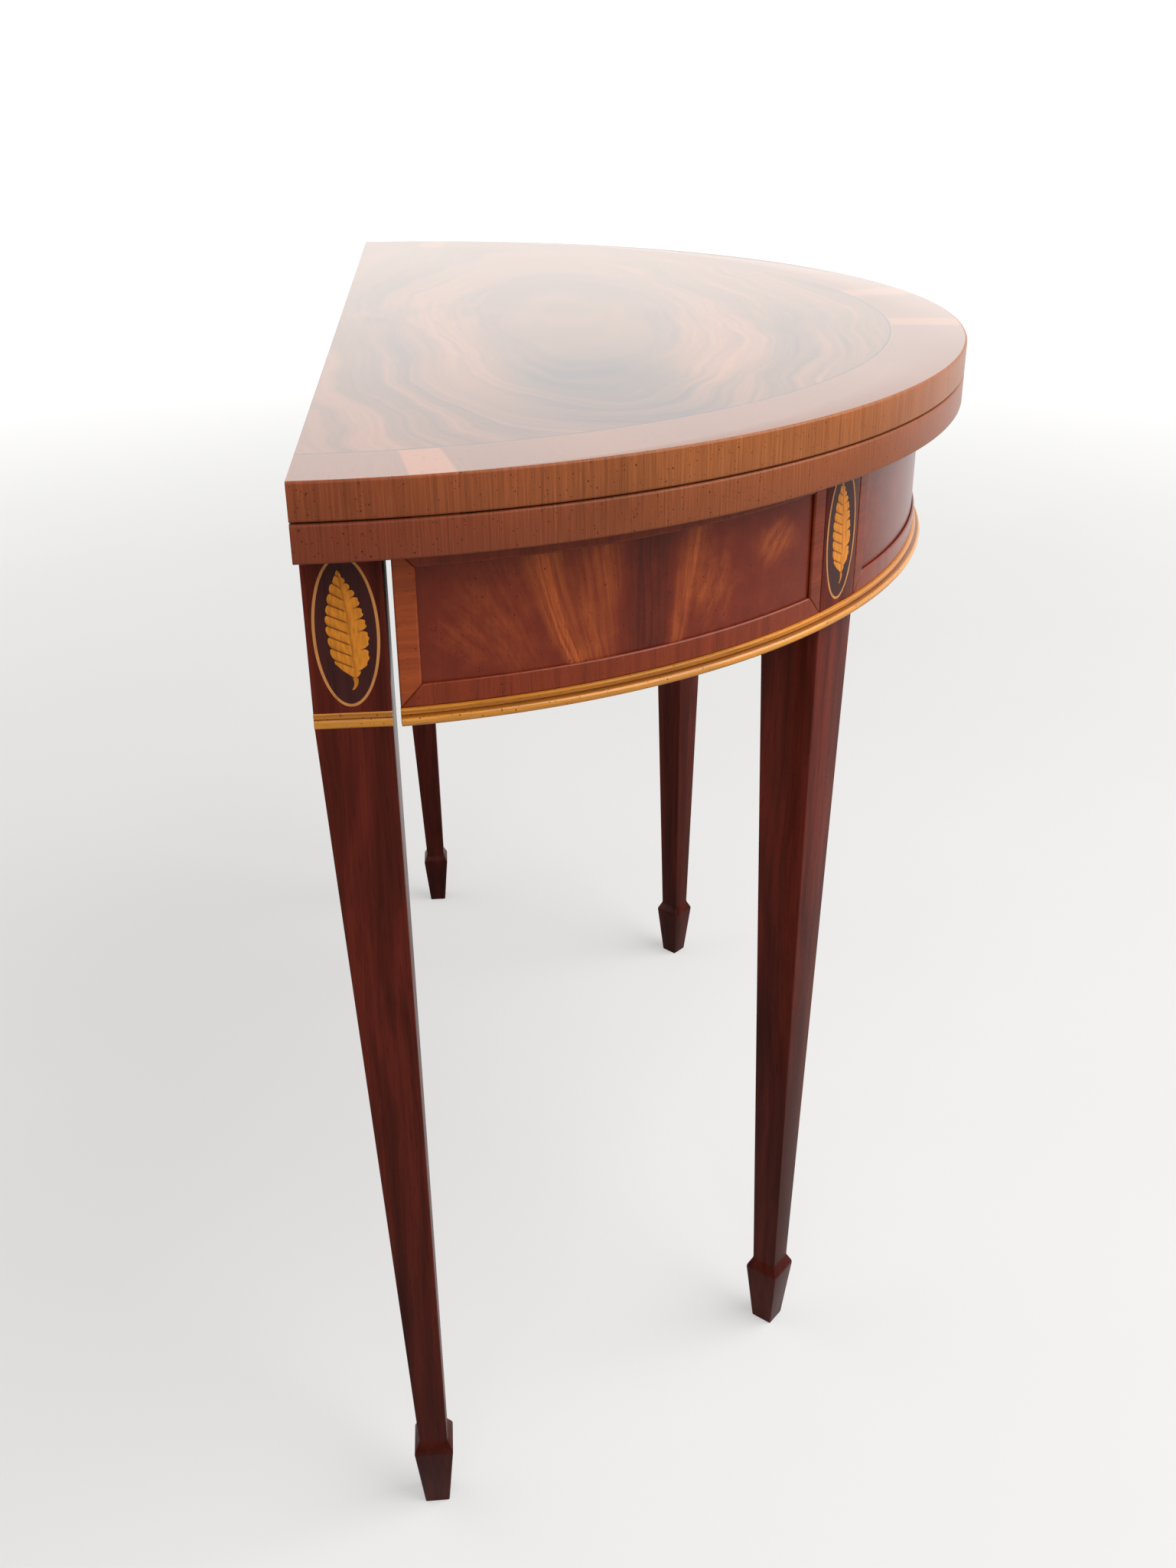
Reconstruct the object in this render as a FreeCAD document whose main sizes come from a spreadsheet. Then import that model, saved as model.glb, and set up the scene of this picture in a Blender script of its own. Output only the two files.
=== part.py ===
"""Half-round fold-over games table: two leaves, a curved apron, two front legs and two fly legs.

The floor is z = 0, the width runs along X, the curved front faces -Y and the flat back +Y.
The right side of the table is the left side mirrored in the YZ plane.
"""
import FreeCAD, Part
import math
import os

import Sketcher

# Driving dimensions in millimetres and degrees: name, value, meaning
SIZES = [
    ("top_width", 914, "width of the half-round top, twice its depth"),
    ("table_height", 750, "floor to the upper leaf's face"),
    ("leaf_thickness", 20.5, "each leaf"),
    ("leaf_gap", 0.8, "between the closed leaves"),
    ("leaf_arris", 1.5, "rounding along the curved edges of the leaves"),
    ("overhang", 26, "top beyond the apron's face"),
    ("apron_height", 100, "underside of the leaf to the foot of the apron"),
    ("apron_thickness", 20, "curved core"),
    ("border_proud", 2, "raised border on the core"),
    ("border_width", 13, "top and bottom strips of the border"),
    ("stile_width", 12, "upright strips of the border"),
    ("moulding_height", 9, "moulding at the foot of the apron"),
    ("moulding_step", 2, "upper fillet of the moulding beyond the border"),
    ("moulding_reach", 5.5, "bead of the moulding beyond the border"),
    ("bead_radius", 2.6, "half-round bead of the moulding"),
    ("end_gap", 4.5, "between a closed fly leg and the end of the apron"),
    ("leg_block", 42, "side of the square block at the head of a leg"),
    ("leg_ankle", 19.5, "side of the leg just above its spade foot"),
    ("leg_arris", 0.8, "rounding along the leg"),
    ("spade_width", 27, "spade foot at its widest"),
    ("spade_rise", 54, "floor to the widest line of the spade"),
    ("spade_ledge", 8, "slope above the widest line"),
    ("foot_width", 17, "spade foot at the floor"),
    ("fly_leg_splay", 2, "lean of a fly leg's front face at the ankle"),
    ("front_leg_angle", 42.7, "front legs either side of the middle of the curve"),
    ("front_leg_setback", 0.6, "flat face of a front leg behind the border's face"),
    ("front_face_taper", 11, "taper on the outer face of a front leg"),
    ("front_side_taper", 13, "taper on the side of a front leg that faces the end"),
    ("band_proud", 0.8, "yellow band beyond the face of a fly leg"),
    ("band_depth", 2, "yellow band let into a fly leg"),
    ("oval_margin", 3.5, "oval inlay to the sides of its leg, the leaf above and the band below"),
    ("string_width", 1.6, "string ring round the oval"),
    ("fern_side_margin", 6.5, "leaf figure to the sides of the oval"),
    ("fern_end_margin", 8.5, "leaf figure to the ends of the oval"),
    ("inlay_thickness", 1, "inlay let into the leg"),
    ("back_rail_thickness", 20, "inner back rail"),
    ("back_rail_height", 85, "inner back rail"),
    ("brace_thickness", 20, "medial brace from the back rail to the front"),
    ("brace_height", 60, "medial brace"),
    ("fly_rail_thickness", 22, "fly rails, and the diameter of their knuckles"),
    ("fly_rail_height", 70, "fly rails and hinge rail"),
    ("fly_reach", 259, "fly leg to the knuckle pin"),
    ("fly_clearance", 0.8, "fly rails and legs below the leaf"),
    ("knuckle_clearance", 1, "round a knuckle"),
    ("finger_clearance", 0.5, "between the fingers of a knuckle"),
    ("knuckle_pin", 6, "diameter of a knuckle pin"),
    ("pin_clearance", 0.05, "round a pin in its bore"),
    ("tenon_thickness", 10, "fly rail into its leg"),
    ("tenon_height", 50, "fly rail into its leg"),
    ("tenon_length", 26, "fly rail into its leg"),
    ("hinge_inset", 127, "end of the leaf to the middle of its hinge"),
    ("hinge_length", 60, "leaf hinge along the edge"),
    ("plate_reach", 14, "hinge plate from the axis to its far edge"),
    ("plate_thickness", 2.6, "hinge plate, flush with the back edge"),
    ("barrel_radius", 2.6, "hinge barrel"),
    ("barrel_offset", 0.35, "hinge axis behind the back edge"),
    ("barrel_clearance", 0.4, "hinge plate and leaf round the barrel"),
    ("hinge_pin", 2.4, "diameter of a hinge pin"),
    ("fit_clearance", 0.1, "hinge plates and screws in the wood"),
    ("hinge_screw_spread", 40, "between the two screws of a plate"),
    ("hinge_screw_place", 8.5, "hinge axis to the screws"),
    ("hinge_screw_length", 16, "hinge screw"),
    ("hinge_screw_shank", 3, "diameter of a hinge screw"),
    ("hinge_screw_head", 6, "diameter of its countersunk head"),
    ("hinge_head_height", 1.7, "countersunk head of a hinge screw"),
    ("block_length", 40, "glue block along the rail"),
    ("block_depth", 25, "glue block out from the rail"),
    ("block_height", 32, "glue block"),
    ("back_block_inner", 120, "inner back blocks either side of the middle"),
    ("back_block_inset", 109, "inside of the apron to the middle of the outer back blocks"),
    ("front_block_angle", 20, "front blocks either side of the middle"),
    ("end_block_angle", 66, "end blocks either side of the middle"),
    ("frame_screw_shank", 4.5, "diameter of the screws of the frame"),
    ("frame_screw_head", 9, "diameter of their countersunk heads"),
    ("frame_head_height", 3, "countersunk head of a frame screw"),
    ("top_screw_length", 45, "from a glue block into the lower leaf"),
    ("rail_screw_length", 50, "from the hinge rail into the back rail"),
    ("rail_screw_inner", 40, "hinge rail screws either side of the middle"),
    ("rail_screw_inset", 35, "knuckle pin to the outer screws of the hinge rail"),
]

# Places worked out from the driving dimensions: name, formula
PLACES = [
    ("top_radius", "Sizes.top_width / 2"),
    ("back_edge", "(top_radius - Sizes.barrel_offset - Sizes.barrel_radius) / 2"),
    ("upper_bottom", "Sizes.table_height - Sizes.leaf_thickness"),
    ("lower_top", "upper_bottom - Sizes.leaf_gap"),
    ("frame_top", "lower_top - Sizes.leaf_thickness"),
    ("apron_bottom", "frame_top - Sizes.apron_height"),
    ("moulding_top", "apron_bottom + Sizes.moulding_height"),
    ("apron_face", "top_radius - Sizes.overhang"),
    ("core_face", "apron_face - Sizes.border_proud"),
    ("core_inside", "core_face - Sizes.apron_thickness"),
    ("apron_end", "back_edge - Sizes.leg_block - Sizes.end_gap"),
    ("rail_front", "apron_end - Sizes.back_rail_thickness"),
    ("end_angle", "asin((Sizes.leg_block + Sizes.end_gap) / apron_face) / 1 deg"),
    ("stile_end_angle", "asin((Sizes.leg_block + Sizes.end_gap + Sizes.stile_width) / apron_face) / 1 deg"),
    ("stile_leg_angle", "asin((Sizes.leg_block / 2 + Sizes.stile_width) / apron_face) / 1 deg"),
    ("front_leg_turn", "270 - Sizes.front_leg_angle"),
    ("front_leg_face", "apron_face - Sizes.front_leg_setback"),
    ("leg_inside", "Sizes.leg_block - apron_face"),
    ("ankle_height", "Sizes.spade_rise + Sizes.spade_ledge"),
    ("oval_width", "Sizes.leg_block - 2 * Sizes.oval_margin"),
    ("oval_height", "frame_top - moulding_top - 2 * Sizes.oval_margin"),
    ("oval_middle", "(frame_top + moulding_top) / 2"),
    ("fern_width", "oval_width - 2 * Sizes.fern_side_margin"),
    ("fern_height", "oval_height - 2 * Sizes.fern_end_margin"),
    ("fly_top", "frame_top - Sizes.fly_clearance"),
    ("fly_bottom", "fly_top - Sizes.fly_rail_height"),
    ("fly_axis", "apron_face - Sizes.leg_block - Sizes.fly_reach"),
    ("fly_axis_y", "back_edge - Sizes.leg_block / 2"),
    ("knuckle_radius", "Sizes.fly_rail_thickness / 2"),
    ("knuckle_room", "knuckle_radius + Sizes.knuckle_clearance"),
    ("rail_back", "fly_axis_y + knuckle_radius"),
    ("hinge_axis_y", "back_edge + Sizes.barrel_offset"),
    ("hinge_axis_z", "lower_top + Sizes.leaf_gap / 2"),
    ("barrel_room", "Sizes.barrel_radius + Sizes.barrel_clearance"),
    ("hinge_place", "top_radius - Sizes.hinge_inset"),
    ("back_block_outer", "core_inside - Sizes.back_block_inset"),
    ("rail_screw_outer", "fly_axis - Sizes.rail_screw_inset"),
]

FINGERS = 5
BARREL_SEGMENTS = 5

UP = FreeCAD.Vector(0, 0, 1)
RIGHT = FreeCAD.Vector(1, 0, 0)
FORWARD = FreeCAD.Vector(0, -1, 0)
PLACEMENT_PATHS = {
    "x": "Placement.Base.x",
    "y": "Placement.Base.y",
    "z": "Placement.Base.z",
    "turn": "Placement.Rotation.Angle",
}

doc = FreeCAD.newDocument("GamesTable")


def fill_sheet(name, rows):
    """A sheet with one row per value: its meaning, and under an alias its number or formula."""
    sheet = doc.addObject("Spreadsheet::Sheet", name)
    for row, (alias, value, meaning) in enumerate(rows, 1):
        sheet.set(f"A{row}", meaning)
        sheet.set(f"B{row}", str(value))
        sheet.setAlias(f"B{row}", alias)
    doc.recompute()
    return sheet


def number(formula):
    """The present value of a formula on the sheets."""
    return float(places.evalExpression(str(formula)))


def bind(item, **formulas):
    """Tie an object's properties, and x, y, z and turn of its placement, to formulas."""
    for name, formula in formulas.items():
        item.setExpression(PLACEMENT_PATHS.get(name, name), str(formula))
    return item


def box(name, length, width, height, x, y, z):
    """A block from its low corner."""
    return bind(doc.addObject("Part::Box", name), Length=length, Width=width, Height=height, x=x, y=y, z=z)


def rod(name, diameter, length, x, y, z, axis=UP):
    """A round bar from the middle of its first end."""
    item = doc.addObject("Part::Cylinder", name)
    item.Placement = FreeCAD.Placement(FreeCAD.Vector(), FreeCAD.Rotation(UP, axis))
    return bind(item, Radius=f"({diameter}) / 2", Height=length, x=x, y=y, z=z)


def cone(name, first, last, length, x, y, z, axis):
    """A cone from the middle of its first end, by the diameters of both ends."""
    item = doc.addObject("Part::Cone", name)
    item.Placement = FreeCAD.Placement(FreeCAD.Vector(), FreeCAD.Rotation(UP, axis))
    return bind(item, Radius1=f"({first}) / 2", Radius2=f"({last}) / 2", Height=length, x=x, y=y, z=z)


def fuse(name, *items):
    """One solid from overlapping or touching items."""
    item = doc.addObject("Part::MultiFuse", name)
    item.Shapes = list(items)
    item.Refine = True
    return item


def cut(name, base, *tools):
    """The base with every tool taken out of it."""
    item = doc.addObject("Part::Cut", name)
    item.Base = base
    item.Tool = tools[0] if len(tools) == 1 else fuse(name + "_tools", *tools)
    item.Refine = True
    return item


def overlap(name, base, tool):
    """What two items share."""
    item = doc.addObject("Part::Common", name)
    item.Base = base
    item.Tool = tool
    return item


def group(name, *items):
    """Separate solids kept together."""
    item = doc.addObject("Part::Compound", name)
    item.Links = list(items)
    return item


def mirrored(name, source):
    """The right-hand twin of a left-hand item."""
    item = doc.addObject("Part::Mirroring", name)
    item.Source = source
    item.Normal = RIGHT
    return item


def new_sketch(body, name, role):
    """An empty sketch on one of the body's own origin planes."""
    sketch = body.newObject("Sketcher::SketchObject", name)
    plane = next(item for item in body.Origin.OriginFeatures if item.Role == role)
    sketch.AttachmentSupport = [(plane, "")]
    sketch.MapMode = "FlatFace"
    return sketch


def measure(sketch, kind, references, formula):
    """A dimension of a sketch tied to a formula."""
    index = sketch.addConstraint(Sketcher.Constraint(kind, *references, number(formula)))
    sketch.setExpression(f"Constraints[{index}]", str(formula))


def join_ends(sketch, count):
    """Each line's end joined to the next one's start, and the last to the first."""
    for index in range(count):
        sketch.addConstraint(Sketcher.Constraint("Coincident", index, 2, (index + 1) % count, 1))


def rectangle(sketch, left, bottom, width, height):
    """A rectangle from its low corner."""
    x, y = number(left), number(bottom)
    far_x, far_y = x + number(width), y + number(height)
    corners = [FreeCAD.Vector(*point, 0) for point in ((x, y), (far_x, y), (far_x, far_y), (x, far_y))]
    for index in range(4):
        sketch.addGeometry(Part.LineSegment(corners[index], corners[(index + 1) % 4]))
    join_ends(sketch, 4)
    for index, direction in enumerate(("Horizontal", "Vertical", "Horizontal", "Vertical")):
        sketch.addConstraint(Sketcher.Constraint(direction, index))
    measure(sketch, "DistanceX", (-1, 1, 0, 1), left)
    measure(sketch, "DistanceY", (-1, 1, 0, 1), bottom)
    measure(sketch, "DistanceX", (0, 1, 0, 2), width)
    measure(sketch, "DistanceY", (1, 1, 1, 2), height)


def rounded_square(sketch, left, bottom, side, radius):
    """A square with rounded corners, from the low corner of its outline: four lines and four arcs."""
    x, y, reach, bend = (number(formula) for formula in (left, bottom, side, radius))
    far_x, far_y = x + reach, y + reach
    near_x, near_y = x + bend, y + bend
    bend_x, bend_y = far_x - bend, far_y - bend
    lines = [
        ((near_x, y), (bend_x, y)),
        ((far_x, near_y), (far_x, bend_y)),
        ((bend_x, far_y), (near_x, far_y)),
        ((x, bend_y), (x, near_y)),
    ]
    centres = [(bend_x, near_y), (bend_x, bend_y), (near_x, bend_y), (near_x, near_y)]
    quarter = math.pi / 2
    for index in range(4):
        start, end = (FreeCAD.Vector(*point, 0) for point in lines[index])
        sketch.addGeometry(Part.LineSegment(start, end))
        circle = Part.Circle(FreeCAD.Vector(*centres[index], 0), UP, bend)
        sketch.addGeometry(Part.ArcOfCircle(circle, (index - 1) * quarter, index * quarter))
    for index in range(8):
        sketch.addConstraint(Sketcher.Constraint("Tangent", index, 2, (index + 1) % 8, 1))
    for index, direction in enumerate(("Horizontal", "Vertical", "Horizontal", "Vertical")):
        sketch.addConstraint(Sketcher.Constraint(direction, 2 * index))
    for index in (3, 5, 7):
        sketch.addConstraint(Sketcher.Constraint("Equal", 1, index))
    measure(sketch, "Radius", (1,), radius)
    measure(sketch, "DistanceX", (-1, 1, 6, 1), left)
    measure(sketch, "DistanceY", (-1, 1, 0, 1), bottom)
    measure(sketch, "DistanceX", (6, 1, 2, 1), side)
    measure(sketch, "DistanceY", (0, 1, 4, 1), side)


def arc_strip(name, inner, outer, bottom, height, start, span):
    """A strip bent round the middle of the back edge: a rectangle turned about a vertical axis."""
    body = doc.addObject("PartDesign::Body", name)
    profile = new_sketch(body, name + "_profile", "XZ_Plane")
    rectangle(profile, inner, 0, f"{outer} - {inner}", height)
    turned_strip = body.newObject("PartDesign::Revolution", name + "_bend")
    turned_strip.Profile = profile
    turned_strip.ReferenceAxis = (profile, ["V_Axis"])
    bind(turned_strip, Angle=span)
    return bind(body, y="Places.back_edge", z=bottom, turn=start)


def turned(name, item, turn, x=0, y="Places.back_edge", z=0):
    """An item made along +X, set at a point and turned about the vertical."""
    return bind(group(name, item), x=x, y=y, z=z, turn=turn)


def back_room(name):
    """Everything behind the ends of the apron."""
    return box(name, "Sizes.top_width", "Sizes.top_width", "Sizes.table_height",
               "-Places.top_radius", "Places.apron_end", 0)


def half_round_leaf(name, bottom):
    """A half-round board with its curved edges eased."""
    body = doc.addObject("PartDesign::Body", name)
    outline = new_sketch(body, name + "_outline", "XY_Plane")
    radius = number("Places.top_radius")
    circle = Part.Circle(FreeCAD.Vector(), UP, radius)
    outline.addGeometry(Part.ArcOfCircle(circle, math.pi, 2 * math.pi))
    outline.addGeometry(Part.LineSegment(FreeCAD.Vector(radius, 0, 0), FreeCAD.Vector(-radius, 0, 0)))
    join_ends(outline, 2)
    outline.addConstraint(Sketcher.Constraint("Coincident", 0, 3, -1, 1))
    outline.addConstraint(Sketcher.Constraint("PointOnObject", 0, 1, -1))
    outline.addConstraint(Sketcher.Constraint("Horizontal", 1))
    measure(outline, "Radius", (0,), "Places.top_radius")
    board = body.newObject("PartDesign::Pad", name + "_board")
    board.Profile = outline
    bind(board, Length="Sizes.leaf_thickness")
    doc.recompute()
    rims = [
        f"Edge{index}"
        for index, edge in enumerate(board.Shape.Edges, 1)
        if isinstance(edge.Curve, Part.Circle)
    ]
    eased = body.newObject("PartDesign::Fillet", name + "_eased")
    eased.Base = (board, rims)
    bind(eased, Radius="Sizes.leaf_arris")
    return bind(body, y="Places.back_edge", z=bottom)


def leg_blank(name, x, y, ankle_x, ankle_y, top):
    """A leg as a straight-sided loft: block, taper, sloping ledge and spade foot.

    The block's low corner is at x, y and the ankle's at ankle_x, ankle_y; the spade is centred on the ankle.
    """
    spade_shift = "(Sizes.leg_ankle - Sizes.spade_width) / 2"
    foot_shift = "(Sizes.leg_ankle - Sizes.foot_width) / 2"
    sections = [
        (f"{ankle_x} + {foot_shift}", f"{ankle_y} + {foot_shift}", "Sizes.foot_width", 0),
        (f"{ankle_x} + {spade_shift}", f"{ankle_y} + {spade_shift}", "Sizes.spade_width", "Sizes.spade_rise"),
        (ankle_x, ankle_y, "Sizes.leg_ankle", "Places.ankle_height"),
        (x, y, "Sizes.leg_block", "Places.apron_bottom"),
        (x, y, "Sizes.leg_block", top),
    ]
    body = doc.addObject("PartDesign::Body", name)
    sketches = []
    for index, (left, bottom, side, height) in enumerate(sections):
        sketch = new_sketch(body, f"{name}_section_{index}", "XY_Plane")
        sketch.setExpression("AttachmentOffset.Base.z", str(height))
        rounded_square(sketch, left, bottom, side, "Sizes.leg_arris")
        sketches.append(sketch)
    loft = body.newObject("PartDesign::AdditiveLoft", name + "_loft")
    loft.Profile = sketches[0]
    loft.Sections = sketches[1:]
    loft.Ruled = True
    return body


def oval(name, width, height, depth):
    """An upright oval plate whose face is the YZ plane and whose body lies behind it, towards -X."""
    outline = doc.addObject("Part::Ellipse", name + "_outline")
    outline.Placement = FreeCAD.Placement(FreeCAD.Vector(), FreeCAD.Rotation(FreeCAD.Vector(0, 1, 0), -90))
    bind(outline, MajorRadius=f"({height}) / 2", MinorRadius=f"({width}) / 2")
    plate = doc.addObject("Part::Extrusion", name)
    plate.Base = outline
    plate.DirMode = "Custom"
    plate.Dir = -RIGHT
    plate.Solid = True
    return bind(plate, LengthFwd=depth)


def fern_figure(name):
    """The pointed outline of the leaf figure: what two equal discs share, behind the YZ plane."""
    bow = "(Places.fern_height ^ 2 + Places.fern_width ^ 2) / (4 * Places.fern_width)"
    shift = f"({bow} - Places.fern_width / 2)"
    depth = "Sizes.inlay_thickness"
    discs = [
        rod(f"{name}_{side}", f"2 * {bow}", depth, f"-{depth}", f"{sign}{shift}", 0, RIGHT)
        for side, sign in (("left", "-"), ("right", ""))
    ]
    return overlap(name, *discs)


def screw(name, x, y, z, axis, kind, length, clearance="0"):
    """A countersunk screw from the middle of its head, or with a clearance the hole that it goes in."""
    shank = f"Sizes.{kind}_screw_shank + 2 * ({clearance})"
    head = f"Sizes.{kind}_screw_head + 2 * ({clearance})"
    return fuse(
        name,
        rod(name + "_shank", shank, f"{length} + ({clearance})", x, y, z, axis),
        cone(name + "_head", head, shank, f"Sizes.{kind}_head_height", x, y, z, axis),
    )


def screws_and_holes(name, spots, axis, kind, length):
    """The screws at the given spots as one group, and their holes as one tool."""
    screws = [screw(f"{name}_{index}", *spot, axis, kind, length) for index, spot in enumerate(spots)]
    holes = [
        screw(f"{name}_hole_{index}", *spot, axis, kind, length, "Sizes.fit_clearance")
        for index, spot in enumerate(spots)
    ]
    return group(name, *screws), group(name + "_holes", *holes)


def hinge_plate(name, x, upward, segments):
    """A hinge plate in the back edge with its share of the barrel; upward for the upper leaf's plate."""
    start = f"{x} - Sizes.hinge_length / 2"
    pitch = f"Sizes.hinge_length / {BARREL_SEGMENTS}"
    plate_y = "Places.back_edge - Sizes.plate_thickness"
    plate_height = "Sizes.plate_reach - Places.barrel_room"
    plate_shift = "+ Places.barrel_room" if upward else "- Sizes.plate_reach"
    web_shift = "" if upward else "- Places.barrel_room"
    pieces = [box(name + "_plate", "Sizes.hinge_length", "Sizes.plate_thickness", plate_height,
                  start, plate_y, f"Places.hinge_axis_z {plate_shift}")]
    for index in segments:
        first = f"{start} + {index} * {pitch} + Sizes.fit_clearance"
        length = f"{pitch} - 2 * Sizes.fit_clearance"
        pieces.append(box(f"{name}_web_{index}", length, "Sizes.plate_thickness", "Places.barrel_room",
                          first, plate_y, f"Places.hinge_axis_z {web_shift}"))
        pieces.append(rod(f"{name}_barrel_{index}", "2 * Sizes.barrel_radius", length,
                          first, "Places.hinge_axis_y", "Places.hinge_axis_z", RIGHT))
    return fuse(name + "_blank", *pieces)


def knuckle(name, direction, fingers):
    """Fingers round the left knuckle pin, with webs that run to the rail on one side: -1 left, 1 right."""
    pitch = f"Sizes.fly_rail_height / {FINGERS}"
    web_x = "-Places.fly_axis" if direction > 0 else "-Places.fly_axis - Places.knuckle_room"
    pieces = []
    for index in fingers:
        z = f"Places.fly_bottom + {index} * {pitch} + Sizes.finger_clearance / 2"
        height = f"{pitch} - Sizes.finger_clearance"
        pieces.append(rod(f"{name}_finger_{index}", "Sizes.fly_rail_thickness", height,
                          "-Places.fly_axis", "Places.fly_axis_y", z))
        pieces.append(box(f"{name}_web_{index}", "Places.knuckle_room", "Sizes.fly_rail_thickness", height,
                          web_x, "Places.fly_axis_y - Places.knuckle_radius", z))
    return pieces


def pin_bore(name):
    """The bore of the left knuckle pin."""
    return rod(name, "Sizes.knuckle_pin + 2 * Sizes.pin_clearance", "Sizes.fly_rail_height",
               "-Places.fly_axis", "Places.fly_axis_y", "Places.fly_bottom")


def tenon_box(name, clearance):
    """The left fly rail's tenon, or with a clearance its mortise."""
    return box(name, f"Sizes.tenon_length + {clearance}", f"Sizes.tenon_thickness + 2 * {clearance}",
               f"Sizes.tenon_height + 2 * {clearance}",
               f"Places.leg_inside - Sizes.tenon_length - {clearance}",
               f"Places.fly_axis_y - Sizes.tenon_thickness / 2 - {clearance}",
               f"Places.fly_bottom + (Sizes.fly_rail_height - Sizes.tenon_height) / 2 - {clearance}")


def inlay_pieces(leg, turn, x, y):
    """String ring, ground and leaf figure of one oval, set on the face of a leg, and the recess for them."""
    inner = ("Places.oval_width - 2 * Sizes.string_width", "Places.oval_height - 2 * Sizes.string_width")
    outer = ("Places.oval_width", "Places.oval_height")
    string = cut(leg + "_string_flat", oval(leg + "_string_out", *outer, "Sizes.inlay_thickness"),
                 oval(leg + "_string_in", *inner, "Sizes.inlay_thickness"))
    ground = cut(leg + "_ground_flat", oval(leg + "_ground_out", *inner, "Sizes.inlay_thickness"),
                 fern_figure(leg + "_fern_room"))
    flat = {"string_inlay": string, "oval_ground": ground, "fern_inlay": fern_figure(leg + "_fern_flat"),
            "recess": oval(leg + "_recess_flat", *outer, "Sizes.inlay_thickness")}
    return {
        kind: turned(f"{leg}_{kind}", item, turn, x, y, "Places.oval_middle") for kind, item in flat.items()
    }


def apron_run(name, start, span, stiles, *cutters):
    """One run of the apron: its core and the four strips of its raised border."""
    inner, face, outer = "Places.core_inside", "Places.core_face", "Places.apron_face"
    low, width = "Places.moulding_top", "Sizes.border_width"
    high = f"(Places.frame_top - {width})"
    strips = {
        "apron": (inner, face, "Places.apron_bottom", "Sizes.apron_height", start, span),
        "border_top": (face, outer, high, width, start, span),
        "border_bottom": (face, outer, low, width, start, span),
    }
    for side, (stile_start, stile_span) in stiles.items():
        stile_height = f"{high} - {low} - {width}"
        strips[f"border_{side}"] = (face, outer, f"{low} + {width}", stile_height, stile_start, stile_span)
    run = {}
    for kind, strip in strips.items():
        label = f"{name}_{kind}"
        run[label] = cut(label, arc_strip(label + "_blank", *strip), *cutters)
    return run


def glue_block(name, turn):
    """A block against the inner face of the curved apron, at a turn about the middle of the back edge."""
    blank = box(name + "_blank", "Sizes.block_depth + Sizes.apron_thickness", "Sizes.block_length",
                "Sizes.block_height", "Places.core_inside - Sizes.block_depth",
                "-Sizes.block_length / 2", "Places.frame_top - Sizes.block_height")
    return overlap(name, turned(name + "_turned", blank, turn), apron_hollow(name + "_hollow"))


def apron_hollow(name):
    """The round space inside the apron."""
    return rod(name, "2 * Places.core_inside", "Sizes.table_height", 0, "Places.back_edge", 0)


sizes = fill_sheet("Sizes", SIZES)
places = fill_sheet("Places", [(alias, "=" + formula, alias) for alias, formula in PLACES])
nodes = {}

# Screws of the frame and the glue blocks that the top is screwed to
block_middle = "Places.core_inside - Sizes.block_depth / 2"
block_bottom = "Places.frame_top - Sizes.block_height"
blocks = []
top_screw_spots = []
for index, x in enumerate(("-Places.back_block_outer", "-Sizes.back_block_inner",
                           "Sizes.back_block_inner", "Places.back_block_outer")):
    blocks.append(box(f"back_block_{index}", "Sizes.block_length", "Sizes.block_depth", "Sizes.block_height",
                      f"{x} - Sizes.block_length / 2", "Places.rail_front - Sizes.block_depth", block_bottom))
    top_screw_spots.append((x, "Places.rail_front - Sizes.block_depth / 2", block_bottom))
for index, angle in enumerate(("-Sizes.end_block_angle", "-Sizes.front_block_angle",
                               "Sizes.front_block_angle", "Sizes.end_block_angle")):
    turn = f"(270 + {angle})"
    blocks.append(glue_block(f"curve_block_{index}", turn))
    top_screw_spots.append((f"({block_middle}) * cos({turn})",
                            f"Places.back_edge + ({block_middle}) * sin({turn})", block_bottom))
top_screws, top_screw_holes = screws_and_holes(
    "top_screws", top_screw_spots, UP, "frame", "Sizes.top_screw_length")
rail_screw_spots = [
    (f"{side}{place}", "Places.rail_back", "Places.fly_bottom + Sizes.fly_rail_height / 2")
    for side in ("-", "") for place in ("Sizes.rail_screw_inner", "Places.rail_screw_outer")
]
rail_screws, rail_screw_holes = screws_and_holes(
    "hinge_rail_screws", rail_screw_spots, FORWARD, "frame", "Sizes.rail_screw_length")
nodes["glue_blocks"] = cut("glue_blocks", group("glue_block_blanks", *blocks), top_screw_holes)
nodes["top_screws"] = top_screws
nodes["hinge_rail_screws"] = rail_screws

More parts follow.
